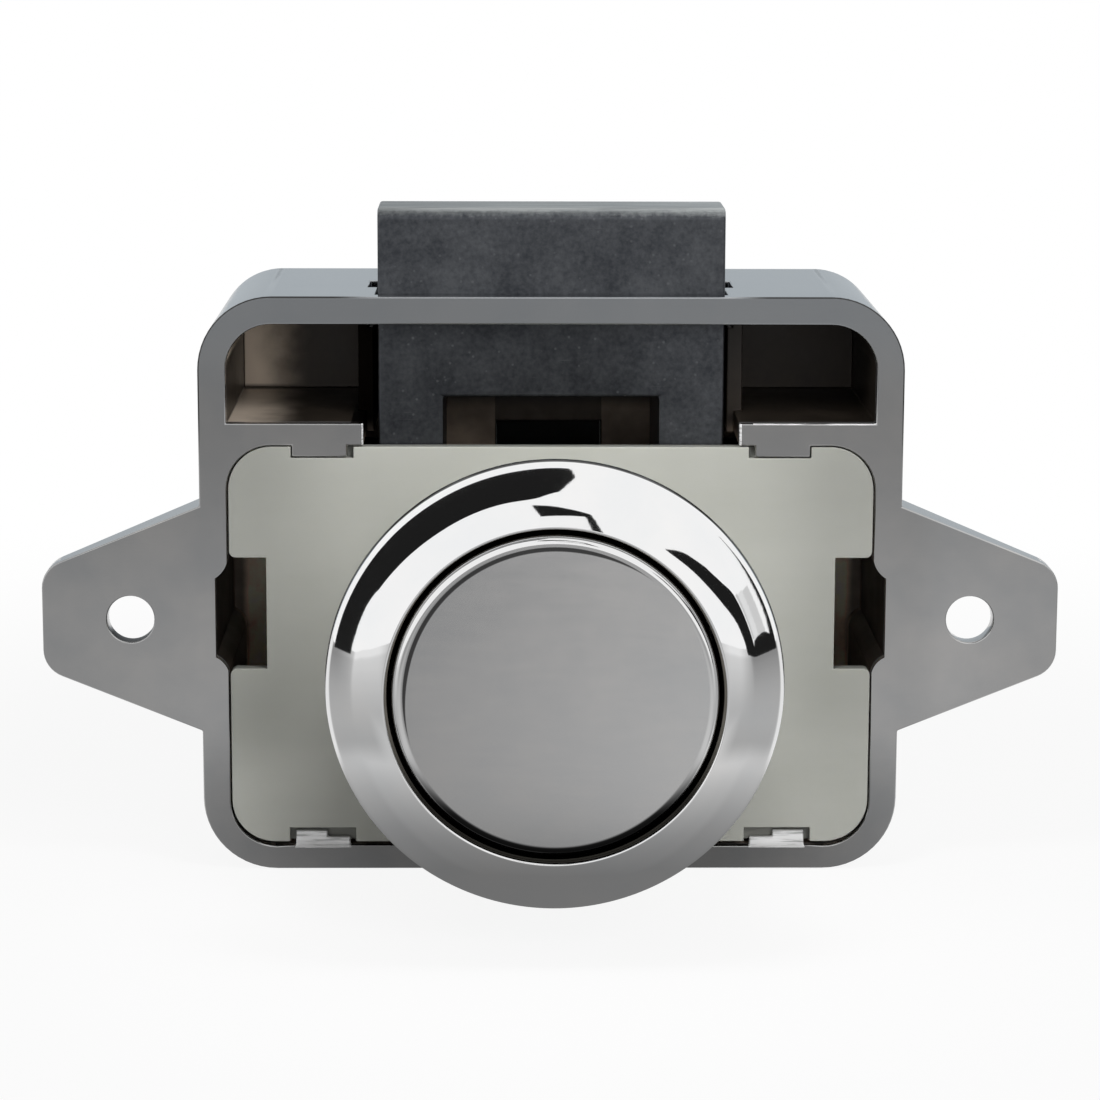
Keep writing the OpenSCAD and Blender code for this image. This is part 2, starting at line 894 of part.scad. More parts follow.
module plunger() {
    color(black_plastic)
        difference() {
            intersection() {
                union() {
                    round_y(-plunger_front, plunger_back, plunger_d);
                    round_y(stop_y, plunger_back, plunger_rear_d);
                }
                block(
                    [-plunger_rear_d, -plunger_front - cut, -flat_z],
                    [plunger_rear_d, plunger_back + cut, plunger_rear_d]
                );
            }
            round_y(spring_floor_y, plunger_back + cut, spring_hole_d);
            round_y(-plunger_front - cut, spring_floor_y + cut, screw_d + 2 * slide_gap);
            both_sides()
                translate([0, pin_y, 0])
                    round_x(pin_inner, plunger_rear_d, pin_d + 2 * seat_gap);
            heart_track();
        }
}

// The cam pin on the right
module cam_pin() {
    color(bright_steel)
        translate([0, pin_y, 0])
            round_x(pin_inner, pin_outer, pin_d);
}

module cam_pin_right() {
    cam_pin();
}

module cam_pin_left() {
    mirror([1, 0, 0])
        cam_pin();
}

module plunger_spring() {
    color(spring_steel)
        rotate([-90, 0, 0])
            coil(plunger_coil_d, spring_floor_y + washer_t, inner_back, plunger_turns, plunger_wire);
}

// The three-cornered window in the fork's legs: its lower front edge is the ramp, and the room
// above the ramp lets the bolt be pushed down while the button stays locked
module ramp_window() {
    low_y = pin_y + over_press + ramp_gap;
    low_z = -(over_press + ramp_gap) * bolt_ratio;
    high_y = pin_y - stroke - ramp_gap;
    high_z = (stroke + ramp_gap) * bolt_ratio;
    corners = [[low_y, low_z], [low_y, high_z], [high_y, high_z]];
    normals = [[1, 0], [0, 1], unit([low_z - high_z, high_y - low_y])];
    polygon([
        for (i = [0 : 2])
            each [corners[i] + normals[i] * pin_room, corners[(i + 1) % 3] + normals[i] * pin_room]
    ]);
    for (corner = corners)
        translate(corner)
            circle(r = pin_room);
}

module bolt() {
    side = bolt_w / 2;
    top = case_top + bolt_reach;
    back = bolt_front + bolt_t;
    color(zinc)
        difference() {
            union() {
                along_x(-side, side)
                    rounded(
                        [
                            [bolt_front, crotch_z],
                            [back, crotch_z],
                            [back, top - slope_h],
                            [back - slope_depth, top],
                            [bolt_front, top]
                        ],
                        [0, 0, slope_edge_r, slope_edge_r, bolt_edge_r]
                    );
                both_sides()
                    block([fork_gap / 2, bolt_front, leg_bottom], [side, back, crotch_z + cut]);
                both_sides()
                    block([fork_gap / 2, back - cut, leg_bottom], [side, leg_back, leg_top]);
                both_sides()
                    block(
                        [side - cut, spring_y - lug_depth / 2, lug_z],
                        [spring_x + rod_d / 2 + lug_wall, spring_y + lug_depth / 2, lug_z + lug_t]
                    );
            }
            along_x(-side - cut, side + cut)
                ramp_window();
            both_sides()
                translate([spring_x, spring_y, lug_z - cut])
                    cylinder(h = lug_t + 2 * cut, d = rod_d + 2 * slide_gap);
        }
}

// The bolt spring on the right, between the case's floor and the bolt's lug
module bolt_spring() {
    color(spring_steel)
        translate([spring_x, spring_y, 0])
            coil(bolt_coil_d, -inner_bottom, lug_z, bolt_turns, bolt_wire);
}

module bolt_spring_right() {
    bolt_spring();
}

module bolt_spring_left() {
    mirror([1, 0, 0])
        bolt_spring();
}

// The rod inside the bolt spring on the right
module spring_rod() {
    color(bright_steel)
        translate([spring_x, spring_y, -inner_bottom])
            cylinder(h = rod_len, d = rod_d);
}

module spring_rod_right() {
    spring_rod();
}

module spring_rod_left() {
    mirror([1, 0, 0])
        spring_rod();
}

module latch_wire() {
    hook_top = -flat_z + track_depth - free_gap;
    root = keeper_z - keeper_h / 2;
    color(spring_steel) {
        translate([0, hook_y, wire_z])
            cylinder(h = hook_top - wire_z, d = wire_d);
        translate([0, hook_y, wire_z])
            sphere(d = wire_d);
        translate([0, 0, wire_z])
            round_y(hook_y, wire_root_y, wire_d);
        translate([0, wire_root_y, wire_z])
            sphere(d = wire_d);
        translate([0, wire_root_y, root])
            cylinder(h = wire_z - root, d = wire_d);
    }
}

module wire_keeper() {
    color(bright_steel)
        difference() {
            block(
                [-pad_w / 2, pad_front - keeper_t, keeper_z - keeper_h / 2],
                [pad_w / 2, pad_front, keeper_z + keeper_h / 2]
            );
            both_sides()
                translate([keeper_screw_x, 0, keeper_z])
                    round_y(pad_front - keeper_t - cut, pad_front + cut, keeper_screw_d + 2 * slide_gap);
        }
}

module keeper_screws() {
    face = pad_front - keeper_t;
    color(bright_steel)
        both_sides()
            translate([keeper_screw_x, 0, keeper_z]) {
                round_y(face, pad_front + keeper_screw_len, keeper_screw_d);
                round_y(face - keeper_head_h, face, keeper_head_d);
            }
}

case();
carrier();
rosette();
rosette_sleeve();
button_cap();
button_core();
button_screw();
spring_washer();
plunger();
cam_pin_left();
cam_pin_right();
plunger_spring();
bolt();
bolt_spring_left();
bolt_spring_right();
spring_rod_left();
spring_rod_right();
latch_wire();
wire_keeper();
keeper_screws();
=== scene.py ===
import json
import math

import bmesh
import bpy
from mathutils import Matrix, Vector


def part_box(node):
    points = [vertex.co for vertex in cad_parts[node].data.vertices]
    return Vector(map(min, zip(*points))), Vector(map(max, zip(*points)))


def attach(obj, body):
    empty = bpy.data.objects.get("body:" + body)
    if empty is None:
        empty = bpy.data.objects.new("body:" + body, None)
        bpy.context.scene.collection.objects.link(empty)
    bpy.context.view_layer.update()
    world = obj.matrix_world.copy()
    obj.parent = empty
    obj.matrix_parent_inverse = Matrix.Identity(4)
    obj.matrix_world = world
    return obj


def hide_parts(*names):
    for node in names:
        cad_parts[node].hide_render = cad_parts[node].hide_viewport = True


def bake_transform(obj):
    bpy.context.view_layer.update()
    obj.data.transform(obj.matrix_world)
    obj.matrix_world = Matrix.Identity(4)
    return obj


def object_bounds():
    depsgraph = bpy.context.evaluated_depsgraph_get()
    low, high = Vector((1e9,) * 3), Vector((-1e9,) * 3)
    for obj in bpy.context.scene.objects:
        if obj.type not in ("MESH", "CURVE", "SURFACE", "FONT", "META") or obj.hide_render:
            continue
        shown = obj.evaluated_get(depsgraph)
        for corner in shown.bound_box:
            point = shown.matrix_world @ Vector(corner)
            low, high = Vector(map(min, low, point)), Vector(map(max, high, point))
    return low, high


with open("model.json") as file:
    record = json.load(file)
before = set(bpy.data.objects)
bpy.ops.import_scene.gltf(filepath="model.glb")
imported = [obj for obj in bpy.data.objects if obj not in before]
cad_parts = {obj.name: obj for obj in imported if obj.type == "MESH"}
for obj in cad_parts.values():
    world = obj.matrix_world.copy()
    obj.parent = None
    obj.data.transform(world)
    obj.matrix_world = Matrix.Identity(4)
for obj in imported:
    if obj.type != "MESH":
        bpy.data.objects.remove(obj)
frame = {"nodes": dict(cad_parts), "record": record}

cad_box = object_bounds()
MM = 0.001

# Photograph
IMAGE_W = 1100
SENSOR_W = 36.0
FOCAL_PX = 3530.276
CAMERA_AT = Vector((-3.519, -263.446, 55.691)) * MM
CAMERA_PITCH = math.radians(10.808)
CAMERA_YAW = math.radians(0.7493)
CAMERA_ROLL = math.radians(0.173)
CLIP_NEAR = 0.01
CLIP_FAR = 100.0

# Rosette, outwards from the button's axis and forwards from the case's front
ROSETTE_REAR = -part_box("rosette")[1].y
ROSETTE_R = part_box("rosette")[1].x
ROSETTE_H = 4.05 * MM
ROSETTE_EDGE = 0.8 * MM
ROSETTE_REAR_EDGE = 0.15 * MM
SEAT_GAP = 0.02 * MM
SEAT_EDGE = 0.12 * MM
LIP_R = 11.85 * MM
LIP_T = 0.8 * MM
LIP_EDGE = 0.13 * MM
LIP_REAR_EDGE = 0.1 * MM
BAND_W = 2.15 * MM
BAND_DROP = 1.05 * MM
SHOULDER_R = 2.8 * MM
FLANK_CROWN = 0.045 * MM
FLANK_CROWN_R = 28.0 * MM
FACE_CROWN = 0.10 * MM
FACE_CROWN_R = 7.5 * MM
RIM_EDGE = 1.5 * MM

# Sleeve and button cap
SLEEVE_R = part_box("rosette_sleeve")[1].x
SLEEVE_WALL = 1.05 * MM
SLEEVE_FRONT = -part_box("rosette_sleeve")[0].y
SLEEVE_BACK = -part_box("rosette_sleeve")[1].y
SLEEVE_BACK_EDGE = 0.25 * MM
SLEEVE_FRONT_EDGE = 0.1 * MM
SLEEVE_BORE_EDGE = 0.04 * MM
CAP_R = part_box("button_cap")[1].x
CAP_FRONT = -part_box("button_cap")[0].y
CAP_BACK = -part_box("button_cap")[1].y
CAP_WALL = 0.8 * MM
CAP_EDGE = 0.65 * MM
CAP_BACK_EDGE = 0.2 * MM
CAP_BORE_EDGE = 0.1 * MM
TURNED_SIDES = 256
ARC_STEP_DEGREES = 6
ARC_STEPS_MIN = 4

# Springs; the pitch of the closed end turns is in thicknesses of the wire
BOLT_WIRE = 0.6 * MM
BOLT_TURNS = 11
PLUNGER_WIRE = 0.8 * MM
PLUNGER_TURNS = 6
END_PITCH = 1.08
COIL_POINTS = 40
WIRE_SIDES = 16

# Latch wire
LATCH_WIRE = 1.2 * MM
LATCH_BEND = 1.5 * MM
BEND_POINTS = 8
SHANK_ABOVE_KEEPER = 2.2 * MM

# Lengths in the materials are in millimetres. A pair says where a change starts and where it is full.
# Outside of the case: a painted bluish sky reflection over the top, painted light on the right ear, and a
# painted dark line of shade round the upper corners, given by its distance from their centres
TOP_SKY_TINT = (16.0, 23.0)
RIGHT_EAR_LIGHT = (27.0, 31.0)
CORNER_X = 21.05
CORNER_Z = 19.1
CORNER_LINE = (5.46, 5.51)
CORNER_DEPTH = 0.3
CORNER_UP = (11.0, 16.0)
CORNER_OUT = (13.0, 16.5)

# Inside of the case, where the plate is thin and brown, with painted shade and light by place over it
POCKET_WALL = 24.55
INSIDE_HALF_W = POCKET_WALL + 0.2
INSIDE_TOP = 22.65
INSIDE_BOTTOM = -17.9
INSIDE_CORNER = 3.7
INSIDE_DEPTH = (0.15, 1.2)
INSIDE_BACK = 20.0
NOTCH_HALF_W = 25.75
NOTCH_DARK = (24.2, 25.0)
POCKET_UP = (13.2, 14.6)
POCKET_WARM = (-22.4, -17.6)
WARM_SPREAD = 3.0
WARM_CORNER = (0.02 - POCKET_WALL, 0.15 - POCKET_WALL)
GUIDE_X = 14.2
GUIDE_HALF_W = 0.95
WALL_DARK = (19.0, 21.0)
WINDOW_HALF_W = 4.3
REAR_WALL = (17.5, 18.8)

# Bare metal on the clamping tabs, brightened with a painted highlight, and painted highlights along the
# edges of the bars
TAB_X = 17.5
TAB_HALF_W = 2.15
TAB_TOP = -16.6
TAB_BOTTOM = -18.0
TAB_BACK = 0.6
BAR_END = 14.25
BAR_EDGE_FROM = 15.25
BAR_LOW = 13.3
BAR_TOP = 15.08
BAR_LINE = 0.14
BAR_HIGHLIGHT_BITS = (0.30, 0.50)
# painted shade: heights of the dark crease at the foot of the left pocket's back wall
CREASE_SHADE_UP = (BAR_TOP + 0.05, BAR_TOP + 0.4)

# Left screw hole, with painted shade in its lower half
HOLE_X = 32.0
HOLE_R = 1.82
HOLE_FRONT = 0.1
HOLE_SHADE_FADE = (-1.2, -0.5)

# Rosette's rim with its painted dark line of shade, and the button's edge with its painted highlight and
# shade and the painted dark crescent at its upper left
RIM_SHADE_R = (15.98, 16.02)
RIM_SHADE_UP = (-0.5, 2.0)
BUTTON_EDGE = (10.60, 10.78)
BUTTON_EDGE_UP = (-8.5, -3.0)
CRESCENT_LEAN = 0.7
CRESCENT_ROUND = (0.15, 0.95)
CRESCENT_ENDS = (0.02, 0.25)
CRESCENT_W = 0.36
CRESCENT_INNER = (10.60, 10.68)
CRESCENT_OUTER = (10.54, 10.62)

# Carrier's painted shade and light, the sleeve's painted shade, and the bolt's worn top with its painted
# highlight, its brighter right edge and the painted shade over its fork
EDGE_SHADE_OUT = (14.0, 22.5)
EDGE_SHADE_UP = (-14.0, -6.0)
LIFT_BELOW = (4.0, 11.0)
NYLON_DEEP = (0.05, 0.60)
NYLON_LOW = (9.0, 12.5)
SLEEVE_LOW = (1.0, 8.0)
BOLT_HALF_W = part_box("bolt")[1].x / MM
BOLT_TOP_WEAR_AND_HIGHLIGHT = (30.75, 31.35)
BOLT_BRIGHT_SIDE = (BOLT_HALF_W - 0.30, BOLT_HALF_W - 0.14)
BOLT_SHADE_TOP = (22.5, 24.0)
BOLT_SHADE_SIDE = (3.0, 10.0)
FLECK = (0.05, 0.16)
SCRATCH = (0.70, 0.80)

# Edge rounding, in metres
CASE_EDGE = 0.12 * MM
CARRIER_EDGE = 0.07 * MM
BOLT_EDGE = 0.22 * MM
EDGE_STEPS = 3
SHARP = math.radians(32)
FLAT = math.radians(0.6)
MERGE = 0.002 * MM
UPRIGHT = 0.02
LEANING = 0.10
NOTCH_INNER = 24.4 * MM
NOTCH_OUTER = 26.2 * MM
NOTCH_HALF_H = 6.0 * MM

# Stage, in metres
FLOOR_Z = cad_box[0].z - 0.05 * MM
FLOOR_SIZE = 4.0
FLOOR_SHADE = 0.86
SHADOW_REACH = 0.16
SHADOW_SHARE = 0.10
AMBIENT = 0.20
FLAG_SHADE = 0.013
CEILING_Z = 0.50
RING_Y = -0.025
WALL_X = -0.85
SKY_R = 0.60
SKY_FAR_R = 0.62
BACK_Y = 0.6
BACK_HALF_W = 0.8
BACK_TOP = 0.35

# Table as metal sees it, with the lock's shadow painted in: distance in metres and brightness, under the
# lock, ahead and at the sides
TABLE_R = 0.60
TABLE_CARD_R = 2.9
TABLE_CARD_SIDES = 64
TABLE_CARD_Z = FLOOR_Z + 0.1 * MM
TABLE_SPOT_Y = -0.010
TABLE_SPOT_LENGTH = 1.35
TABLE_UNDER = [
    (0.014, 0.18), (0.020, 0.25), (0.030, 0.44), (0.040, 0.63), (0.060, 0.585),
    (0.080, 0.54), (0.110, 0.46), (0.150, 0.365), (0.220, 0.37),
]
TABLE_AHEAD = [
    (0.03, 0.33), (0.04, 0.40), (0.06, 0.45), (0.08, 0.50), (0.11, 0.56),
    (0.15, 0.61), (0.22, 0.66), (0.40, 0.70), (0.58, 0.85),
]
TABLE_ASIDE = [
    (0.03, 0.36), (0.04, 0.40), (0.06, 0.44), (0.08, 0.43),
    (0.11, 0.40), (0.15, 0.36), (0.22, 0.32), (0.40, 0.27),
]
TABLE_BEHIND = 0.85
TABLE_SIDE_REACH = 0.020
TABLE_LEFT = 0.95
TABLE_RIGHT = 1.04
# Turns from straight ahead, in radians, and distances where one part of the table passes into another
TURN_RIGHT = (0.96, 1.31)
TURN_LEFT = (1.40, 1.68)
TURN_BEHIND = (1.74, 1.90)
TURN_WIDE = (0.56, 0.84)
AWAY_WIDE = (0.045, 0.08)
TURN_NEAR = (0.85, 1.10)
AWAY_NEAR = (0.034, 0.048)


class Value:
    """A socket of a node tree. Sums, products and comparisons of values add Math nodes."""

    def __init__(self, tree, socket):
        self.tree = tree
        self.socket = socket

    def __add__(self, other):
        return self.tree.math("ADD", self, other)

    def __sub__(self, other):
        return self.tree.math("SUBTRACT", self, other)

    def __mul__(self, other):
        return self.tree.math("MULTIPLY", self, other)

    def __truediv__(self, other):
        return self.tree.math("DIVIDE", self, other)

    def __mod__(self, other):
        return self.tree.math("MODULO", self, other)

    def __lt__(self, other):
        return self.tree.math("LESS_THAN", self, other)

    def __gt__(self, other):
        return self.tree.math("GREATER_THAN", self, other)

    def __radd__(self, other):
        return self.tree.math("ADD", other, self)

    def __rsub__(self, other):
        return self.tree.math("SUBTRACT", other, self)

    def __rmul__(self, other):
        return self.tree.math("MULTIPLY", other, self)

    def __neg__(self):
        return self.tree.math("SUBTRACT", 0.0, self)

    def __abs__(self):
        return self.tree.math("ABSOLUTE", self)


class Tree:
    """A shader or geometry tree that is filled one node at a time."""

    def __init__(self, tree):
        self.tree = tree

    def add(self, kind, settings=None, inputs=None, output=0):
        """Adds a node, sets its settings and then its sockets, and gives one of its outputs."""
        node = self.tree.nodes.new(kind)
        for name, value in (settings or {}).items():
            if name == "stops":
                fill_ramp(node.color_ramp, value)
            else:
                setattr(node, name, value)
        for key, value in (inputs or {}).items():
            if isinstance(value, Value):
                self.tree.links.new(value.socket, node.inputs[key])
            else:
                node.inputs[key].default_value = value
        return Value(self, node.outputs[output]) if len(node.outputs) else None

    def math(self, operation, first, second=0.0):
        return self.add("ShaderNodeMath", {"operation": operation}, {0: first, 1: second})

    def length(self, first, second):
        """The distance from the origin to a point of two coordinates."""
        return self.math("SQRT", first * first + second * second)

    def beyond(self, value, limit):
        """How far a value lies past a limit, or zero."""
        return self.math("MAXIMUM", value - limit, 0.0)

    def nearest_whole(self, value):
        """The nearest whole number, as an index."""
        return self.add("FunctionNodeFloatToInt", {"rounding_mode": "ROUND"}, {0: value})

    def coordinates(self):
        """Object coordinates in millimetres."""
        metres = self.add("ShaderNodeTexCoord", output="Object")
        return self.scaled(metres, 1 / MM)

    def scaled(self, vector, factor):
        return self.add("ShaderNodeVectorMath", {"operation": "SCALE"}, {0: vector, "Scale": factor})

    def stretched(self, vector, factors):
        return self.add("ShaderNodeVectorMath", {"operation": "MULTIPLY"}, {0: vector, 1: factors})

    def axis(self, vector, name):
        return self.add("ShaderNodeSeparateXYZ", inputs={0: vector}, output=name)

    def axes(self, vector):
        return [self.axis(vector, name) for name in "XYZ"]

    def noise(self, vector, scale, detail=3.0, rough=0.55):
        inputs = {"Vector": vector, "Scale": scale, "Detail": detail, "Roughness": rough}
        return self.add("ShaderNodeTexNoise", {"noise_dimensions": "3D"}, inputs)

    def streaks(self, vector, factors, detail, scale=1.0, rough=0.55):
        """Noise that is finer along the axes with the larger factors."""
        return self.noise(self.stretched(vector, factors), scale, detail, rough)

    def ramp(self, value, stops):
        return self.add("ShaderNodeValToRGB", {"stops": stops}, {0: value})

    def smooth(self, value, start, full):
        inputs = {0: value, 1: start, 2: full, 3: 0.0, 4: 1.0}
        return self.add("ShaderNodeMapRange", {"interpolation_type": "SMOOTHSTEP"}, inputs)

    def blend(self, share, first, second):
        settings = {"data_type": "RGBA", "blend_type": "MIX"}
        return self.add("ShaderNodeMix", settings, {0: share, 6: first, 7: second}, output=2)

    def bump(self, height, strength, distance=0.05 * MM):
        inputs = {"Height": height, "Strength": strength, "Distance": distance}
        return self.add("ShaderNodeBump", inputs=inputs)


def fill_ramp(ramp, stops):
    """Gives a colour ramp its stops, each a place and a colour."""
    while len(ramp.elements) > 1:
        ramp.elements.remove(ramp.elements[-1])
    for number, (place, colour) in enumerate(stops):
        element = ramp.elements[0] if number == 0 else ramp.elements.new(place)
        element.position = place
        element.color = colour


def grey(level, warmth=0.0):
    """A grey whose red is raised and whose blue is lowered by its warmth."""
    return (level * (1 + warmth), level, level * (1 - warmth), 1.0)


def rgb(red, green, blue):
    return (red, green, blue, 1.0)


def new_material(name):
    material = bpy.data.materials.new(name)
    material.use_nodes = True
    material.node_tree.nodes.clear()
    return material, Tree(material.node_tree)


def surface(tree, inputs):
    """Ends a material in a Principled shader."""
    shader = tree.add("ShaderNodeBsdfPrincipled", inputs=inputs)
    tree.add("ShaderNodeOutputMaterial", inputs={"Surface": shader})


def corner_line(tree, x, y, z):
    """The painted dark line of shade round the upper corners of the case's front."""
    reach = tree.length(tree.beyond(abs(x), CORNER_X), tree.beyond(z, CORNER_Z))
    line = tree.smooth(reach, *CORNER_LINE) * (y < CORNER_DEPTH)
    return line * tree.smooth(z, *CORNER_UP) * tree.smooth(abs(x), *CORNER_OUT)


def hole_shade_mask(tree, x, y, z):
    """Painted shade on the lower wall of the left screw hole."""
    bore = tree.length(x + HOLE_X, z) < HOLE_R
    return bore * (y > HOLE_FRONT) * (1 - tree.smooth(z, *HOLE_SHADE_FADE))


def case_opening(tree, x, z):
    """What lies within the outline of the case's opening, with the notch in either side wall."""
    middle, half_h = (INSIDE_TOP + INSIDE_BOTTOM) / 2, (INSIDE_TOP - INSIDE_BOTTOM) / 2
    past_x = tree.beyond(abs(x), INSIDE_HALF_W - INSIDE_CORNER)
    past_z = tree.beyond(abs(z - middle), half_h - INSIDE_CORNER)
    notch = (abs(x) < NOTCH_HALF_W) * (abs(z) < NOTCH_HALF_H / MM)
    return tree.math("MAXIMUM", tree.length(past_x, past_z) < INSIDE_CORNER, notch)


def bare_metal_and_highlights(tree, x, y, z, wiped):
    """The clamping tabs, bare metal brightened with a painted highlight, and painted highlights in bits
    along the edges of the two bars.
    """
    tab = (abs(abs(x) - TAB_X) < TAB_HALF_W) * (z < TAB_TOP) * (z > TAB_BOTTOM) * (y < TAB_BACK)
    top = (abs(z - BAR_TOP) < BAR_LINE / 2) * (x > BAR_EDGE_FROM) * (x < POCKET_WALL)
    ends = (abs(x - BAR_END) < BAR_LINE) + (abs(x + BAR_END) < BAR_LINE / 2)
    ends = ends * (z > BAR_LOW) * (z < BAR_TOP)
    edges = tree.math("MINIMUM", top + ends, 1.0) * (y < BAR_LINE) * tree.smooth(wiped, *BAR_HIGHLIGHT_BITS)
    return tree.math("MAXIMUM", edges, tab)


def thin_plate_and_shade(tree, x, y, z, stain):
    """The colour of the case's thin inner plate, with painted shade and light by place, and how dull it is.
    """
    brown = tree.ramp(stain, [(0.30, rgb(0.140, 0.108, 0.083)), (0.72, rgb(0.280, 0.220, 0.170))])
    pocket = tree.smooth(z, *POCKET_UP)
    rear = tree.smooth(y, *REAR_WALL)
    # painted shade: a dark crease along the foot of the back wall, where the warm patch is cut away
    crease_shade = rear * (1 - tree.smooth(z, *CREASE_SHADE_UP))
    # painted reflection on the back wall and painted light on the floor: a warm tan patch at the left of the
    # left pocket
    warm_reflection = pocket * (1 - tree.smooth(x + WARM_SPREAD * stain, *POCKET_WARM))
    warm_reflection = warm_reflection * tree.smooth(x, *WARM_CORNER) * (1 - 0.8 * crease_shade)
    outer = tree.smooth(abs(x), *WALL_DARK) * (1 - pocket)
    notch = tree.smooth(abs(x), *NOTCH_DARK) * (1 - pocket)
    window = rear * (abs(x) < WINDOW_HALF_W)
    guide = pocket * (abs(x + GUIDE_X) < GUIDE_HALF_W)
    # painted shade and light by place: darker pockets, window, notches, pocket fronts and guide strip;
    # lighter rear of the outer walls
    level = (1.7 - 1.48 * pocket) * (1 - 0.7 * window) * (1 + outer * (3.2 * rear - 0.8))
    level = level * (1 - 0.8 * notch) * (1 - 0.5 * pocket * (1 - rear)) * (1 - 0.85 * guide)
    colour = tree.blend(warm_reflection, tree.scaled(brown, level), rgb(0.66, 0.56, 0.46))
    return colour, (1 - warm_reflection * rear) * (1 - guide)


def chrome_plate():
    """Bright plate on the die-cast case, brown and dull in the recesses where it is thin; painted shade,
    light, highlights and reflections are laid into its colour.
    """
    material, tree = new_material("chrome_plate_look")
    place = tree.coordinates()
    x, y, z = tree.axes(place)
    cloud = tree.noise(place, 0.18, 3.0)
    grain = tree.noise(place, 9.0, 2.0)
    stain = tree.noise(place, 0.32, 4.0)
    wiped = tree.streaks(place, (0.35, 4.0, 6.0), 4.0)
    opening = case_opening(tree, x, z)
    bare_and_highlights = bare_metal_and_highlights(tree, x, y, z, wiped)
    inside = opening * tree.smooth(y, *INSIDE_DEPTH) * (y < INSIDE_BACK) * (1 - bare_and_highlights)
    hole_shade = hole_shade_mask(tree, x, y, z)
    plate = tree.ramp(cloud, [(0.30, grey(0.43, -0.012)), (0.70, grey(0.49, 0.012))])
    # painted reflection: the top is tinted bluish, like the sky it mirrors
    plate = tree.blend(0.6 * tree.smooth(z, *TOP_SKY_TINT), plate, rgb(0.445, 0.475, 0.505))
    # painted light: the right ear is made brighter
    plate = tree.scaled(plate, 1 + 0.13 * tree.smooth(x, *RIGHT_EAR_LIGHT))
    # painted shade: a dark line round the upper corners of the front
    plate = tree.blend(corner_line(tree, x, y, z) * (1 - opening), plate, grey(0.06))
    # painted shade in the lower half of the left screw hole
    plate = tree.blend(hole_shade, plate, grey(0.02))
    thin_and_shaded, dullness = thin_plate_and_shade(tree, x, y, z, stain)
    # bright grey for the bare tabs and for the painted edge highlights
    scraped_and_highlight = tree.ramp(wiped, [(0.34, grey(0.35)), (0.52, grey(0.82))])
    polish = 0.08 + 0.03 * grain + 0.04 * wiped + 0.3 * hole_shade
    thin_polish = 0.30 + 0.20 * stain
    surface(tree, {
        "Base Color": tree.blend(bare_and_highlights, tree.blend(inside, plate, thin_and_shaded), scraped_and_highlight),
        "Metallic": 1 - 0.72 * inside * dullness - 0.65 * bare_and_highlights,
        "Roughness": polish + inside * (thin_polish - polish) + 0.3 * bare_and_highlights,
        "Normal": tree.bump(grain + 0.6 * wiped, 0.03),
    })
    return material


def chrome_polish():
    """Mirror plate of the rosette, with a breath of haze and a painted dark line of shade round its upper
    rim.
    """
    material, tree = new_material("chrome_polish_look")
    place = tree.coordinates()
    x, _, z = tree.axes(place)
    haze = tree.noise(place, 0.22, 4.0)
    hairs = tree.streaks(place, (7.0, 1.0, 0.6), 3.0)
    plate = tree.ramp(haze, [(0.25, grey(0.86, -0.01)), (0.75, grey(0.90, 0.006))])
    # painted shade: a dark line round the upper rim
    rim_shade = tree.smooth(tree.length(x, z), *RIM_SHADE_R) * tree.smooth(z, *RIM_SHADE_UP)
    surface(tree, {
        "Base Color": tree.blend(rim_shade, plate, grey(0.05)),
        "Metallic": 1.0,
        "Roughness": 0.015 + 0.03 * haze + 0.015 * hairs,
        "Normal": tree.bump(hairs, 0.008),
    })
    return material


def button_polish():
    """The button's plate: polished, with faint wiped smudges over its face, painted light to the right and
    top, and an edge with a painted highlight above, painted shade below and a painted dark crescent at its
    upper left.
    """
    material, tree = new_material("button_polish_look")
    place = tree.coordinates()
    x, _, z = tree.axes(place)
    smudge = tree.noise(place, 0.14, 5.0, 0.6)
    wiped = tree.streaks(place, (0.5, 1.0, 2.4), 4.0, scale=0.5)
    grain = tree.noise(place, 14.0, 2.0)
    mark = 0.7 * smudge + 0.3 * wiped
    plate = tree.ramp(mark, [(0.30, grey(0.57, -0.01)), (0.70, grey(0.62, 0.01))])
    # painted light: brighter towards the right and the top
    plate = tree.scaled(plate, 1 + 0.0135 * x + 0.015 * z)
    radius = tree.length(x, z)
    edge = tree.smooth(radius, *BUTTON_EDGE)
    # painted highlight on the upper edge, passing into painted shade on the lower edge
    rim = tree.ramp(tree.smooth(z, *BUTTON_EDGE_UP), [(0.0, grey(0.02)), (1.0, grey(0.84))])
    # painted shade: a dark crescent at the upper left of the edge
    leaning = tree.smooth((z - CRESCENT_LEAN * x) / radius, *CRESCENT_ROUND)
    crescent = tree.smooth(radius + CRESCENT_W * leaning, *CRESCENT_INNER)
    crescent = crescent * (1 - tree.smooth(radius, *CRESCENT_OUTER))
    plate = tree.blend(0.9 * crescent * tree.smooth(leaning, *CRESCENT_ENDS), plate, grey(0.03))
    surface(tree, {
        "Base Color": tree.blend(edge, plate, rim),
        "Metallic": 1.0,
        "Roughness": (0.13 + 0.14 * mark + 0.02 * grain) * (1 - 0.75 * edge),
        "Normal": tree.bump(grain, 0.01),
    })
    return material


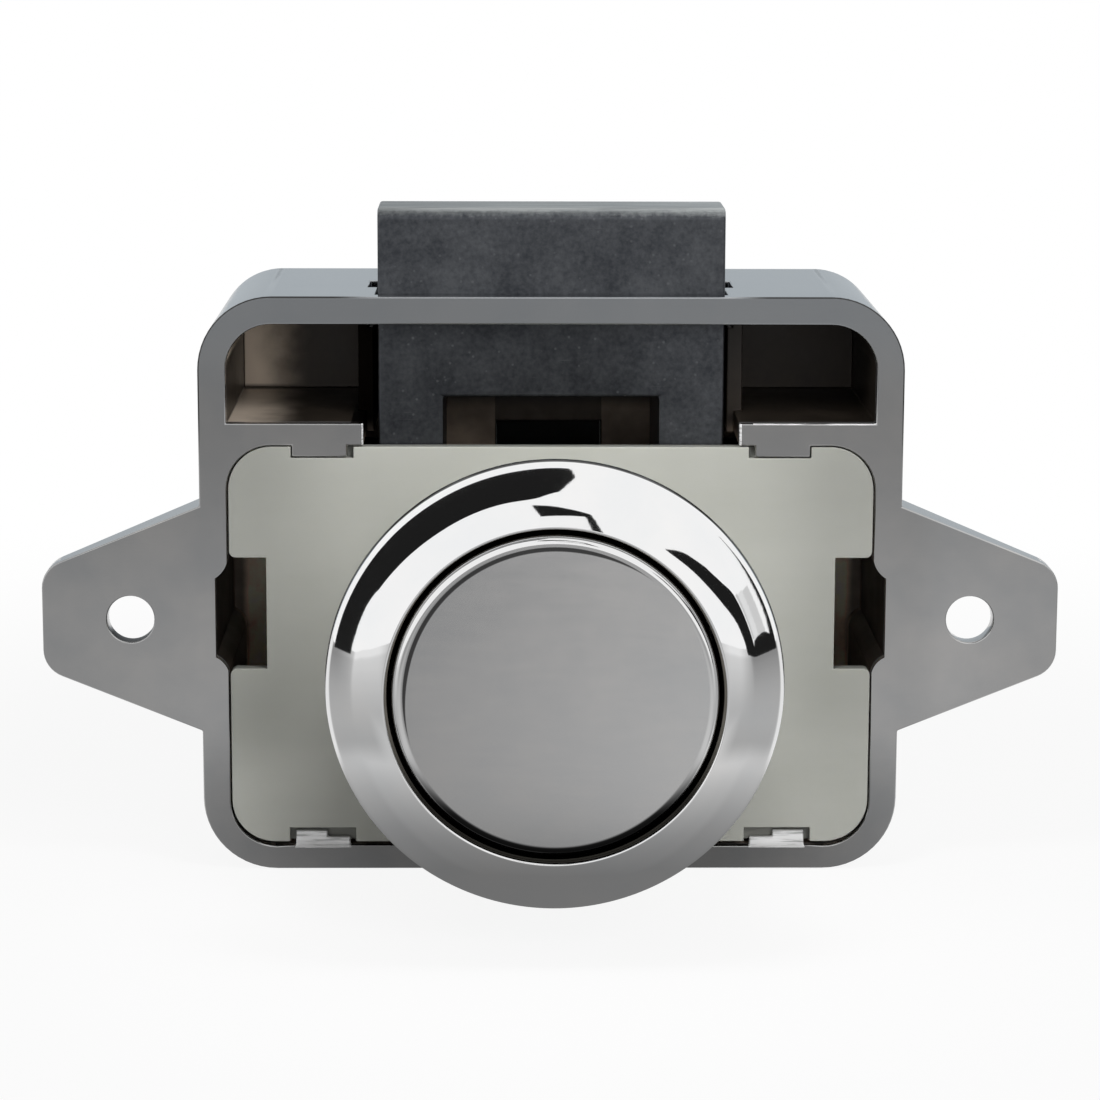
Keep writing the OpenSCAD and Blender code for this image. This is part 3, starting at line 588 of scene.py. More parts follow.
def ivory_nylon():
    """Natural moulded nylon: satin, a little cloudy, with a fine moulded grain, painted shade towards its
    sides and in its recesses, and painted light low down.
    """
    material, tree = new_material("ivory_nylon_look")
    place = tree.coordinates()
    x, y, z = tree.axes(place)
    cloud = tree.noise(place, 0.09, 3.0)
    flow = tree.streaks(place, (0.12, 0.5, 0.5), 4.0)
    grain = tree.noise(place, 6.0, 3.0)
    tone = 0.65 * cloud + 0.35 * flow
    nylon = tree.ramp(tone, [(0.30, rgb(0.403, 0.408, 0.370)), (0.70, rgb(0.445, 0.449, 0.412))])
    # painted shade towards the side edges, above the lowest part
    edge_shade = tree.smooth(abs(x), *EDGE_SHADE_OUT) * tree.smooth(z, *EDGE_SHADE_UP)
    # painted light: the lower part is made brighter, and its lower left more than its lower right
    lower_lift = 1 - tree.smooth(z, *LIFT_BELOW)
    # painted shade: darker farther back, in the recesses and on the sides
    deep = tree.smooth(y, *NYLON_DEEP)
    low = tree.smooth(-z, *NYLON_LOW)
    level = (1 - 0.24 * edge_shade) * (1 + 0.12 * lower_lift - 0.004 * x * low) * (1 - 0.5 * deep)
    surface(tree, {
        "Base Color": tree.scaled(nylon, level),
        "Roughness": 0.42 + 0.14 * grain,
        "Normal": tree.bump(grain, 0.05),
        "Subsurface Weight": 0.12,
        "Subsurface Radius": (1.2 * MM, 1.1 * MM, 0.8 * MM),
        "Subsurface Scale": 1.0,
    })
    return material


def brass_tube():
    """Drawn brass, dull, with painted shade below, and fine lines round the tube."""
    material, tree = new_material("brass_tube_look")
    place = tree.coordinates()
    lines = tree.streaks(place, (0.15, 9.0, 0.15), 4.0)
    tarnish = tree.noise(place, 0.35, 4.0)
    brass = tree.ramp(tarnish, [(0.30, rgb(0.165, 0.155, 0.135)), (0.70, rgb(0.235, 0.220, 0.190))])
    # painted shade towards the bottom
    low = tree.smooth(-tree.axis(place, "Z"), *SLEEVE_LOW)
    surface(tree, {
        "Base Color": tree.scaled(brass, 1 - 0.85 * low),
        "Metallic": 1.0,
        "Roughness": 0.26 + 0.14 * lines + 0.08 * tarnish,
        "Normal": tree.bump(lines, 0.06),
    })
    return material


def black_plastic():
    """Moulded black plastic with a fine spark-eroded grain."""
    material, tree = new_material("black_plastic_look")
    place = tree.coordinates()
    grain = tree.noise(place, 8.0, 4.0)
    worn = tree.noise(place, 0.4, 3.0)
    tone = tree.ramp(worn, [(0.30, grey(0.016, -0.03)), (0.75, grey(0.030, -0.02))])
    surface(tree, {
        "Base Color": tone,
        "Roughness": 0.42 + 0.16 * grain,
        "Normal": tree.bump(grain, 0.10),
    })
    return material


def bright_steel():
    """Zinc plated steel with turning marks."""
    material, tree = new_material("bright_steel_look")
    place = tree.coordinates()
    turned_marks = tree.streaks(place, (2.0, 9.0, 2.0), 3.0)
    bloom = tree.noise(place, 0.9, 3.0)
    steel = tree.ramp(bloom, [(0.30, rgb(0.47, 0.48, 0.50)), (0.70, rgb(0.58, 0.59, 0.60))])
    surface(tree, {
        "Base Color": steel,
        "Metallic": 1.0,
        "Roughness": 0.20 + 0.14 * turned_marks + 0.06 * bloom,
        "Normal": tree.bump(turned_marks, 0.04),
    })
    return material


def spring_steel():
    """Drawn spring wire: darker, with an oily sheen."""
    material, tree = new_material("spring_steel_look")
    place = tree.coordinates()
    drawn = tree.noise(place, 5.0, 3.0)
    oil = tree.noise(place, 0.7, 3.0)
    steel = tree.ramp(oil, [(0.30, rgb(0.32, 0.32, 0.34)), (0.70, rgb(0.43, 0.43, 0.44))])
    surface(tree, {
        "Base Color": steel,
        "Metallic": 1.0,
        "Roughness": 0.24 + 0.16 * drawn,
        "Normal": tree.bump(drawn, 0.05),
    })
    return material


def raw_zinc():
    """Raw zinc die-casting: blue-grey, mottled, speckled, and worn bright along its top with a painted
    highlight there; brighter along its right edge and towards the right, with painted shade over its lower
    part.
    """
    material, tree = new_material("raw_zinc_look")
    place = tree.coordinates()
    x, _, z = tree.axes(place)
    mottle = tree.noise(place, 0.35, 6.0, 0.62)
    crystal = tree.noise(place, 2.6, 4.0, 0.6)
    across = tree.streaks(place, (0.16, 3.0, 9.0), 3.0)
    streak = tree.streaks(place, (0.14, 2.2, 2.2), 5.0, rough=0.65)
    cells = {"feature": "F1", "distance": "EUCLIDEAN"}
    speck = tree.add("ShaderNodeTexVoronoi", cells, {"Vector": place, "Scale": 1.1}, "Distance")
    fleck = 1 - tree.smooth(speck, *FLECK)
    scratch = tree.smooth(across, *SCRATCH)
    marks = 0.22 * fleck + 0.35 * scratch
    tone = 0.55 * mottle + 0.45 * crystal
    # painted shade: the bolt below the case's top rim is darker, less so towards the right
    low_left_shade = (1 - tree.smooth(z, *BOLT_SHADE_TOP)) * (1 - 0.8 * tree.smooth(x, *BOLT_SHADE_SIDE))
    zinc = tree.ramp(tone, [(0.37, rgb(0.052, 0.056, 0.064)), (0.64, rgb(0.112, 0.118, 0.128))])
    zinc = tree.blend(marks, tree.scaled(zinc, 1 - 0.32 * low_left_shade), rgb(0.26, 0.27, 0.28))
    # brighter along the right edge
    side = tree.smooth(x, *BOLT_BRIGHT_SIDE)
    # worn top, with a painted highlight
    worn = tree.math("MAXIMUM", tree.smooth(z + 0.5 * crystal, *BOLT_TOP_WEAR_AND_HIGHLIGHT), 0.7 * side)
    bright = tree.ramp(streak, [(0.34, rgb(0.20, 0.215, 0.22)), (0.66, rgb(0.40, 0.42, 0.42))])
    # painted light: brighter towards the right
    bright = tree.scaled(bright, 1 + 0.014 * x)
    surface(tree, {
        "Base Color": tree.blend(worn, zinc, bright),
        "Metallic": 0.92,
        "Roughness": 0.34 + 0.14 * crystal - 0.10 * marks,
        "Normal": tree.bump(0.7 * crystal + 0.5 * mottle - 0.4 * scratch, 0.16),
    })
    return material


def new_geometry_tree(name, inputs):
    """A geometry tree with named inputs, each a name, a socket type and a value."""
    tree = bpy.data.node_groups.new(name, "GeometryNodeTree")
    tree.interface.new_socket("Geometry", in_out="INPUT", socket_type="NodeSocketGeometry")
    for label, kind, value in inputs:
        socket = tree.interface.new_socket(label, in_out="INPUT", socket_type=kind)
        if value is not None:
            socket.default_value = value
    tree.interface.new_socket("Geometry", in_out="OUTPUT", socket_type="NodeSocketGeometry")
    return Tree(tree)


def tree_input(tree, label):
    return tree.add("NodeGroupInput", output=label)


def finish_geometry(tree, geometry):
    """Ends a geometry tree: smooth, realized, with its material."""
    smooth = tree.add("GeometryNodeSetShadeSmooth", inputs={"Geometry": geometry})
    real = tree.add("GeometryNodeRealizeInstances", inputs={"Geometry": smooth})
    finish = {"Geometry": real, "Material": tree_input(tree, "Material")}
    dressed = tree.add("GeometryNodeSetMaterial", inputs=finish)
    tree.add("NodeGroupOutput", inputs={0: dressed})
    return tree.tree


def turning_tree():
    """Turns the object's own points, an outline of radius X and forward distance Z, about Y."""
    tree = new_geometry_tree("turning", [
        ("Outline Points", "NodeSocketInt", 8),
        ("Sides", "NodeSocketInt", TURNED_SIDES),
        ("Material", "NodeSocketMaterial", None),
    ])
    outline = tree_input(tree, "Geometry")
    count = tree_input(tree, "Outline Points")
    sheet = {
        "Size X": 1.0,
        "Size Y": 1.0,
        "Vertices X": count + 1,
        "Vertices Y": tree_input(tree, "Sides") + 1,
    }
    grid = tree.add("GeometryNodeMeshGrid", inputs=sheet)
    at = tree.add("GeometryNodeInputPosition")
    step = tree.nearest_whole((tree.axis(at, "X") + 0.5) * count) % count
    angle = (tree.axis(at, "Y") + 0.5) * math.tau
    sampling = {"data_type": "FLOAT_VECTOR", "domain": "POINT"}
    source = {"Geometry": outline, "Value": at, "Index": step}
    point = tree.add("GeometryNodeSampleIndex", sampling, source)
    radius = tree.axis(point, "X")
    turned = tree.add("ShaderNodeCombineXYZ", inputs={
        0: radius * tree.math("COSINE", angle),
        1: -tree.axis(point, "Z"),
        2: radius * tree.math("SINE", angle),
    })
    placed = tree.add("GeometryNodeSetPosition", inputs={"Geometry": grid, "Position": turned})
    merging = {"Geometry": placed, "Distance": MERGE / 2}
    return finish_geometry(tree, tree.add("GeometryNodeMergeByDistance", inputs=merging))


def swept_wire(tree, path):
    """A round wire along a curve, as thick as the tree's input says."""
    section = {"Resolution": WIRE_SIDES, "Radius": tree_input(tree, "Wire Radius")}
    circle = tree.add("GeometryNodeCurvePrimitiveCircle", inputs=section)
    swept = {"Curve": path, "Profile Curve": circle, "Fill Caps": True}
    return tree.add("GeometryNodeCurveToMesh", inputs=swept)


def coil_tree():
    """A compression spring with closed ends, wound along Z and then set in its place."""
    tree = new_geometry_tree("coil", [
        ("Coil Radius", "NodeSocketFloat", 0.0),
        ("Length", "NodeSocketFloat", 0.0),
        ("Turns", "NodeSocketFloat", 1.0),
        ("Points", "NodeSocketInt", 2),
        ("Wire Radius", "NodeSocketFloat", 0.0),
        ("Closing", "NodeSocketFloat", 0.0),
        ("Turned", "NodeSocketRotation", None),
        ("Place", "NodeSocketVector", None),
        ("Material", "NodeSocketMaterial", None),
    ])
    points = tree_input(tree, "Points")
    line = tree.add("GeometryNodeMeshLine", inputs={"Count": points})
    share = tree.add("GeometryNodeInputIndex") / (points - 1)
    angle = share * tree_input(tree, "Turns") * math.tau
    radius = tree_input(tree, "Coil Radius")
    wave = tree.math("SINE", share * math.tau) / math.tau
    rise = (share - tree_input(tree, "Closing") * wave) * tree_input(tree, "Length")
    helix = tree.add("ShaderNodeCombineXYZ", inputs={
        0: radius * tree.math("COSINE", angle),
        1: radius * tree.math("SINE", angle),
        2: rise,
    })
    placed = tree.add("GeometryNodeSetPosition", inputs={"Geometry": line, "Position": helix})
    path = tree.add("GeometryNodeMeshToCurve", inputs={0: placed})
    seat = {
        "Geometry": swept_wire(tree, path),
        "Rotation": tree_input(tree, "Turned"),
        "Translation": tree_input(tree, "Place"),
    }
    return finish_geometry(tree, tree.add("GeometryNodeTransform", inputs=seat))


def bent_wire_tree():
    """A wire along the object's own points, with its corners bent round."""
    tree = new_geometry_tree("bent_wire", [
        ("Wire Radius", "NodeSocketFloat", 0.0),
        ("Bend Radius", "NodeSocketFloat", 0.0),
        ("Material", "NodeSocketMaterial", None),
    ])
    bend = {
        "Curve": tree.add("GeometryNodeMeshToCurve", inputs={0: tree_input(tree, "Geometry")}),
        "Count": BEND_POINTS,
        "Radius": tree_input(tree, "Bend Radius"),
        "Limit Radius": True,
    }
    path = tree.add("GeometryNodeFilletCurve", {"mode": "POLY"}, bend)
    return finish_geometry(tree, swept_wire(tree, path))


def linked(name, data):
    """A new object at the origin."""
    piece = bpy.data.objects.new(name, data)
    bpy.context.scene.collection.objects.link(piece)
    return piece


def made_plain(piece):
    """Turns a piece and its modifiers into a plain mesh."""
    graph = bpy.context.evaluated_depsgraph_get()
    mesh = bpy.data.meshes.new_from_object(piece.evaluated_get(graph))
    piece.modifiers.clear()
    piece.data = mesh
    mesh.name = piece.name
    return piece


def outwards(piece):
    """Points all the faces of a closed mesh outwards."""
    shape = bmesh.new()
    shape.from_mesh(piece.data)
    bmesh.ops.recalc_face_normals(shape, faces=shape.faces)
    shape.to_mesh(piece.data)
    shape.free()
    return piece


def grown(name, tree, points, edges, values):
    """A piece that a geometry tree makes from points and named sizes."""
    mesh = bpy.data.meshes.new(name)
    mesh.from_pydata(points, edges, [])
    piece = linked(name, mesh)
    modifier = piece.modifiers.new("shape", "NODES")
    modifier.node_group = tree
    for item in tree.interface.items_tree:
        if item.in_out == "INPUT" and item.name in values:
            modifier[item.identifier] = values[item.name]
    return outwards(made_plain(piece))


def arc_corner(before, corner, after, radius):
    """Points of a corner rounded by an arc, in radius and forward distance."""
    back = (Vector(before) - Vector(corner)).normalized()
    ahead = (Vector(after) - Vector(corner)).normalized()
    half = back.angle(ahead) / 2
    centre = Vector(corner) + (back + ahead).normalized() * radius / math.sin(half)
    start = Vector(corner) + back * radius / math.tan(half) - centre
    sweep = math.pi - 2 * half
    turn = math.copysign(1.0, -(back.x * ahead.y - back.y * ahead.x))
    steps = max(ARC_STEPS_MIN, math.ceil(math.degrees(sweep) / ARC_STEP_DEGREES))
    angles = [turn * sweep * number / steps for number in range(steps + 1)]
    return [centre + Matrix.Rotation(angle, 2) @ start for angle in angles]


def crowned(start, end, height):
    """The middle of a straight stretch of outline, raised by a height on its outer side."""
    along = (end - start).normalized()
    return (start + end) / 2 + height * Vector((along.y, -along.x))


def rounded_outline(corners):
    """A closed outline from corners, each a radius, a forward distance and its rounding."""
    count = len(corners)
    points = []
    for number, (radius, forward, rounding) in enumerate(corners):
        before = corners[number - 1][:2]
        after = corners[(number + 1) % count][:2]
        if rounding > 0:
            points += arc_corner(before, (radius, forward), after, rounding)
        else:
            points.append(Vector((radius, forward)))
    return [(p.x, 0.0, p.y) for p in points]


def turned_piece(name, corners, material):
    """A round piece turned about the button's axis."""
    points = rounded_outline(corners)
    sizes = {"Outline Points": len(points), "Sides": TURNED_SIDES, "Material": material}
    return grown(name, trees["turning"], points, [], sizes)


def mark_edges(shape, node):
    """Marks the edges to round, and keeps sharp the creases that shading must not cross."""
    rounded = shape.edges.layers.float.new("bevel_weight_edge")
    for edge in shape.edges:
        middle = (edge.verts[0].co + edge.verts[1].co) / 2
        in_notch = NOTCH_INNER < abs(middle.x) < NOTCH_OUTER and abs(middle.z) < NOTCH_HALF_H
        in_notch = in_notch and node == "case"
        leans = [abs(face.normal.y) for face in edge.link_faces]
        if edge.calc_face_angle(0.0) > SHARP:
            edge[rounded] = 0.0 if in_notch else 1.0
            edge.smooth = not in_notch
        elif min(leans) < UPRIGHT and max(leans) > LEANING:
            edge.smooth = False


def softened(name, node, width, material):
    """A copy of a CAD node with its flats made whole and its sharp edges rounded."""
    shape = bmesh.new()
    shape.from_mesh(frame["nodes"][node].data)
    bmesh.ops.remove_doubles(shape, verts=shape.verts, dist=MERGE)
    bmesh.ops.dissolve_limit(
        shape, angle_limit=FLAT, verts=shape.verts, edges=shape.edges, use_dissolve_boundaries=False
    )
    mark_edges(shape, node)
    mesh = bpy.data.meshes.new(name)
    shape.to_mesh(mesh)
    shape.free()
    old_normals = mesh.attributes.get("custom_normal")
    if old_normals:
        mesh.attributes.remove(old_normals)
    mesh.materials.clear()
    mesh.materials.append(material)
    for face in mesh.polygons:
        face.use_smooth = True
        face.material_index = 0
    piece = linked(name, mesh)
    bevel = piece.modifiers.new("edges", "BEVEL")
    bevel.width = width
    bevel.segments = EDGE_STEPS
    bevel.limit_method = "WEIGHT"
    bevel.use_clamp_overlap = False
    flats = piece.modifiers.new("flats", "WEIGHTED_NORMAL")
    flats.keep_sharp = True
    return made_plain(piece)


def stands_for(piece, node, body=None):
    """Lets a piece replace a CAD node, and ride on a body when one is given."""
    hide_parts(node)
    if body:
        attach(piece, body)


def spring(name, node, wire, turns, axis):
    """A coil in place of a CAD spring: axis is 1 for Y and 2 for Z."""
    low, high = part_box(node)
    bottom = (low + high) / 2
    top = Vector(bottom)
    bottom[axis], top[axis] = low[axis], high[axis]
    place = Vector(bottom)
    place[axis] += wire / 2
    length = high[axis] - low[axis] - wire
    piece = grown(name, trees["coil"], [(0, 0, 0)], [], {
        "Coil Radius": (high.x - low.x - wire) / 2,
        "Length": length,
        "Turns": float(turns),
        "Points": turns * COIL_POINTS + 1,
        "Wire Radius": wire / 2,
        "Closing": 1 - END_PITCH * wire * turns / length,
        "Turned": (-math.pi / 2, 0.0, 0.0) if axis == 1 else (0.0, 0.0, 0.0),
        "Place": tuple(place),
        "Material": looks["spring_steel"],
    })
    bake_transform(piece)
    stands_for(piece, node)


looks = {
    "chrome_plate": chrome_plate(),
    "chrome_polish": chrome_polish(),
    "button_polish": button_polish(),
    "ivory_nylon": ivory_nylon(),
    "brass_tube": brass_tube(),
    "black_plastic": black_plastic(),
    "bright_steel": bright_steel(),
    "spring_steel": spring_steel(),
    "raw_zinc": raw_zinc(),
}
trees = {"turning": turning_tree(), "coil": coil_tree(), "bent_wire": bent_wire_tree()}

# Every CAD node gets the look of its slot; some are then replaced by a fuller piece
for part in frame["record"]["subparts"]:
    mesh = frame["nodes"][part["node"]].data
    mesh.materials.clear()
    mesh.materials.append(looks[part["material_slot"]])

for name, node, edge, slot, body in (
    ("case_casting", "case", CASE_EDGE, "chrome_plate", "case"),
    ("carrier_moulding", "carrier", CARRIER_EDGE, "ivory_nylon", "case"),
    ("bolt_casting", "bolt", BOLT_EDGE, "raw_zinc", "bolt"),
):
    stands_for(softened(name, node, edge, looks[slot]), node, body)

lip_front = ROSETTE_REAR + ROSETTE_H
rosette_seat = SLEEVE_R + SEAT_GAP
rim_corner = Vector((ROSETTE_R, ROSETTE_REAR + ROSETTE_EDGE))
shoulder_corner = Vector((LIP_R + BAND_W, lip_front - BAND_DROP))
lip_corner = Vector((LIP_R, lip_front))
rosette_ring = turned_piece("rosette_ring", [
    (rosette_seat, ROSETTE_REAR, SEAT_EDGE),
    (ROSETTE_R, ROSETTE_REAR, ROSETTE_REAR_EDGE),
    (*rim_corner, RIM_EDGE),
    (*crowned(rim_corner, shoulder_corner, FLANK_CROWN), FLANK_CROWN_R),
    (*shoulder_corner, SHOULDER_R),
    (*crowned(shoulder_corner, lip_corner, FACE_CROWN), FACE_CROWN_R),
    (*lip_corner, LIP_EDGE),
    (LIP_R, lip_front - LIP_T, LIP_REAR_EDGE),
    (rosette_seat, lip_front - LIP_T, 0.0),
], looks["chrome_polish"])
stands_for(rosette_ring, "rosette", "rosette")

sleeve_tube = turned_piece("sleeve_tube", [
    (SLEEVE_R - SLEEVE_WALL, SLEEVE_BACK, SLEEVE_BACK_EDGE),
    (SLEEVE_R, SLEEVE_BACK, SLEEVE_BACK_EDGE),
    (SLEEVE_R, SLEEVE_FRONT, SLEEVE_FRONT_EDGE),
    (SLEEVE_R - SLEEVE_WALL, SLEEVE_FRONT, SLEEVE_BORE_EDGE),
], looks["brass_tube"])
stands_for(sleeve_tube, "rosette_sleeve", "rosette")

cap_shell = turned_piece("cap_shell", [
    (CAP_R - CAP_WALL, CAP_BACK, CAP_BORE_EDGE),
    (CAP_R, CAP_BACK, CAP_BACK_EDGE),
    (CAP_R, CAP_FRONT, CAP_EDGE),
    (0.0, CAP_FRONT, 0.0),
    (0.0, CAP_FRONT - CAP_WALL, 0.0),
    (CAP_R - CAP_WALL, CAP_FRONT - CAP_WALL, CAP_BORE_EDGE),
], looks["button_polish"])
stands_for(cap_shell, "button_cap", "button")

spring("plunger_coil", "plunger_spring", PLUNGER_WIRE, PLUNGER_TURNS, 1)
for side in ("left", "right"):
    spring(f"bolt_coil_{side}", f"bolt_spring_{side}", BOLT_WIRE, BOLT_TURNS, 2)

wire_low, wire_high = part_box("latch_wire")
wire_r = LATCH_WIRE / 2
hook_y, root_y = wire_low.y + wire_r, wire_high.y - wire_r
shank_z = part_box("wire_keeper")[1].z + SHANK_ABOVE_KEEPER
latch_hook = grown("latch_hook", trees["bent_wire"], [
    (0, hook_y, wire_high.z),
    (0, hook_y, shank_z),
    (0, root_y, shank_z),
    (0, root_y, wire_low.z),
], [(0, 1), (1, 2), (2, 3)], {
    "Wire Radius": wire_r,
    "Bend Radius": LATCH_BEND,
    "Material": looks["spring_steel"],
})
stands_for(latch_hook, "latch_wire", "case")


def place_camera():
    """The photograph's camera, as fitted to it."""
    cos_p, sin_p = math.cos(CAMERA_PITCH), math.sin(CAMERA_PITCH)
    cos_y, sin_y = math.cos(CAMERA_YAW), math.sin(CAMERA_YAW)
    ahead = Vector((sin_y * cos_p, cos_y * cos_p, -sin_p))
    level = Vector((cos_y, -sin_y, 0.0))
    upright = level.cross(ahead)
    right = math.cos(CAMERA_ROLL) * level + math.sin(CAMERA_ROLL) * upright
    up = math.cos(CAMERA_ROLL) * upright - math.sin(CAMERA_ROLL) * level
    lens = bpy.data.cameras.new("camera")
    lens.sensor_width = SENSOR_W
    lens.lens = FOCAL_PX / IMAGE_W * SENSOR_W
    lens.clip_start = CLIP_NEAR
    lens.clip_end = CLIP_FAR
    camera = linked("camera", lens)
    axes = Matrix((right, up, -ahead)).transposed().to_4x4()
    camera.matrix_world = Matrix.Translation(CAMERA_AT) @ axes
    bpy.context.scene.camera = camera


def softbox(name, place, size, power):
    """A square lamp that faces the lock."""
    lamp = bpy.data.lights.new(name, "AREA")
    lamp.shape = "SQUARE"
    lamp.size = size
    lamp.energy = power
    box = linked(name, lamp)
    box.visible_camera = False
    box.visible_glossy = False
    box.location = place
    box.rotation_euler = (-Vector(place)).to_track_quat("-Z", "Y").to_euler()


def light_path(tree, name):
    return tree.add("ShaderNodeLightPath", output=name)


def white_world():
    """A white surround to look at, and a quiet even light to be lit by."""
    world = bpy.data.worlds.new("surround")
    world.use_nodes = True
    world.node_tree.nodes.clear()
    tree = Tree(world.node_tree)
    ambient = tree.add("ShaderNodeBackground", inputs={"Color": grey(1.0), "Strength": AMBIENT})
    white = tree.add("ShaderNodeBackground", inputs={"Color": grey(1.0), "Strength": 1.0})
    seen = light_path(tree, "Is Camera Ray") + light_path(tree, "Is Glossy Ray")
    seen = seen + light_path(tree, "Is Transmission Ray")
    shader = tree.add("ShaderNodeMixShader", inputs={0: seen, 1: ambient, 2: white})
    tree.add("ShaderNodeOutputWorld", inputs={"Surface": shader})
    bpy.context.scene.world = world


def flat_piece(name, corners, material, faces=None):
    """A piece of the stage: one face round its corners, or the faces given."""
    mesh = bpy.data.meshes.new(name)
    mesh.from_pydata(corners, [], faces or [tuple(range(len(corners)))])
    mesh.materials.append(material)
    return linked(name, mesh)


def floor():
    """A pale floor that fades to white and keeps the lock's soft shadow."""
    material, tree = new_material("pale_floor")
    place = tree.add("ShaderNodeTexCoord", output="Object")
    away = tree.add("ShaderNodeVectorMath", {"operation": "LENGTH"}, {0: place}, output="Value")
    lit = tree.add("ShaderNodeBsdfDiffuse", inputs={"Color": grey(FLOOR_SHADE)})
    white = tree.add("ShaderNodeEmission", inputs={"Color": grey(1.0), "Strength": 1.0})
    camera = light_path(tree, "Is Camera Ray")
    fade = 1 - SHADOW_SHARE * (1 - tree.smooth(away, SHADOW_REACH / 3, SHADOW_REACH))
    shader = tree.add("ShaderNodeMixShader", inputs={0: camera * fade, 1: lit, 2: white})
    tree.add("ShaderNodeOutputMaterial", inputs={"Surface": shader})
    half = FLOOR_SIZE / 2
    corners = [(-half, -half), (half, -half), (half, half), (-half, half)]
    flat_piece("floor", [(*at, FLOOR_Z) for at in corners], material)


def glow(tree, colour):
    """Ends a material in plain light of a colour."""
    shader = tree.add("ShaderNodeEmission", inputs={"Color": colour, "Strength": 1.0})
    tree.add("ShaderNodeOutputMaterial", inputs={"Surface": shader})


def only_in_metal(piece):
    """Hides a stage piece from everything but mirror reflections."""
    piece.visible_camera = False
    piece.visible_diffuse = False
    piece.visible_shadow = False
    piece.visible_transmission = False


def card(name, corners, shade, faces=None):
    """A card of one shade that only metal sees."""
    material, tree = new_material(name)
    glow(tree, shade)
    only_in_metal(flat_piece(name, corners, material, faces))


def table_ramp(tree, away, shades):
    return tree.ramp(away / TABLE_R, [(reach / TABLE_R, grey(shade)) for reach, shade in shades])


def table_card():
    """The table as metal sees it, with the lock's shadow painted dark under it: brighter ahead and behind,
    dim at the sides.
    """
    material, tree = new_material("table_card")
    place = tree.add("ShaderNodeTexCoord", output="Object")
    x, y, _ = tree.axes(place)
    # painted shadow of the lock on the table, brighter to its right, seen only in metal
    under = table_ramp(tree, tree.length(x, (y - TABLE_SPOT_Y) / TABLE_SPOT_LENGTH), TABLE_UNDER)
    side = tree.smooth(x, -TABLE_SIDE_REACH, TABLE_SIDE_REACH)
    under = tree.scaled(under, TABLE_LEFT + side * (TABLE_RIGHT - TABLE_LEFT))
    ahead = RING_Y - y
    away = tree.length(x, ahead)
    turn = tree.math("ARCTAN2", x, ahead)
    facing = (1 - tree.smooth(turn, *TURN_RIGHT)) * (1 - tree.smooth(-turn, *TURN_LEFT))
    far = tree.blend(facing, table_ramp(tree, away, TABLE_ASIDE), table_ramp(tree, away, TABLE_AHEAD))
    far = tree.blend(tree.smooth(abs(turn), *TURN_BEHIND), far, grey(TABLE_BEHIND))
    wide = tree.smooth(abs(turn), *TURN_WIDE) * tree.smooth(away, *AWAY_WIDE)
    near = tree.smooth(abs(turn), *TURN_NEAR) * tree.smooth(away, *AWAY_NEAR)
    glow(tree, tree.blend(tree.math("MAXIMUM", wide, near), under, far))
    turns = [math.tau * step / TABLE_CARD_SIDES for step in range(TABLE_CARD_SIDES)]
    rim = [(TABLE_CARD_R * math.cos(at), TABLE_CARD_R * math.sin(at), TABLE_CARD_Z) for at in turns]
    only_in_metal(flat_piece("table_card", rim, material))


def eased(points):
    """An open line of points with its corners cut twice, so that its bends look drawn."""
    points = [Vector(point) for point in points]
    for _ in range(2):
        cut = [points[0]]
        for start, end in zip(points, points[1:]):
            cut += [start.lerp(end, 0.25), start.lerp(end, 0.75)]
        points = cut + [points[-1]]
    return points


def sky_point(turn, rise, distance):
    """A point as the rosette sees it: degrees right of the viewer and above level."""
    turn, rise = math.radians(turn), math.radians(rise)
    flat = distance * math.cos(rise)
    return (flat * math.sin(turn), RING_Y - flat * math.cos(turn), distance * math.sin(rise))


def sky_strip(name, pairs, shade, distance=SKY_R):
    """A bent card between two edges, given as pairs of turn and rise in degrees."""
    edges = [eased(edge) for edge in zip(*pairs)]
    points = [sky_point(*at, distance) for pair in zip(*edges) for at in pair]
    faces = [(k, k + 1, k + 3, k + 2) for k in range(0, len(points) - 2, 2)]
    card(name, points, shade, faces)


place_camera()
white_world()
floor()
for name, place, size, power in (
    ("key_softbox", (0.25, -0.50, 0.28), 0.30, 1.62),
    ("fill_softbox", (-0.50, -0.30, 0.35), 0.40, 0.36),
    ("top_softbox", (0.0, 0.05, 0.75), 0.60, 0.96),
    ("near_softbox", (0.004, -0.030, 0.047), 0.015, 0.018),
):
    softbox(name, place, size, power)
table_card()

# Flags and panes that draw the dark and light shapes in the rosette
black = grey(FLAG_SHADE)
ceiling_near = eased([
    (0.061, -0.078), (0.050, -0.095), (0.029, -0.111), (-0.009, -0.170), (-0.040, -0.270), (-0.062, -0.312),
    (-0.098, -0.322), (-0.167, -0.292), (-0.298, -0.294), (-0.496, -0.326), (-0.850, -0.260), (-1.5, -0.165),
])
ceiling_far = eased([
    (-1.5, 0.03), (-0.85, 0.005), (-0.464, -0.039), (-0.225, -0.048), (-0.146, -0.051), (-0.084, -0.055),
    (-0.025, -0.051), (0.030, -0.051), (0.052, -0.060),
])
card("black_ceiling", [(*at, CEILING_Z) for at in ceiling_near + ceiling_far], black)
wall_far = eased([(0.069, FLOOR_Z), (0.069, 0.10), (0.04, 0.25), (0.005, CEILING_Z)])
wall_near = eased([
    (-0.260, CEILING_Z), (-0.229, 0.465), (-0.155, 0.37), (-0.087, 0.25), (-0.053, 0.073), (-0.034, FLOOR_Z),
])
card("black_wall", [(WALL_X, *at) for at in wall_far + wall_near], black)
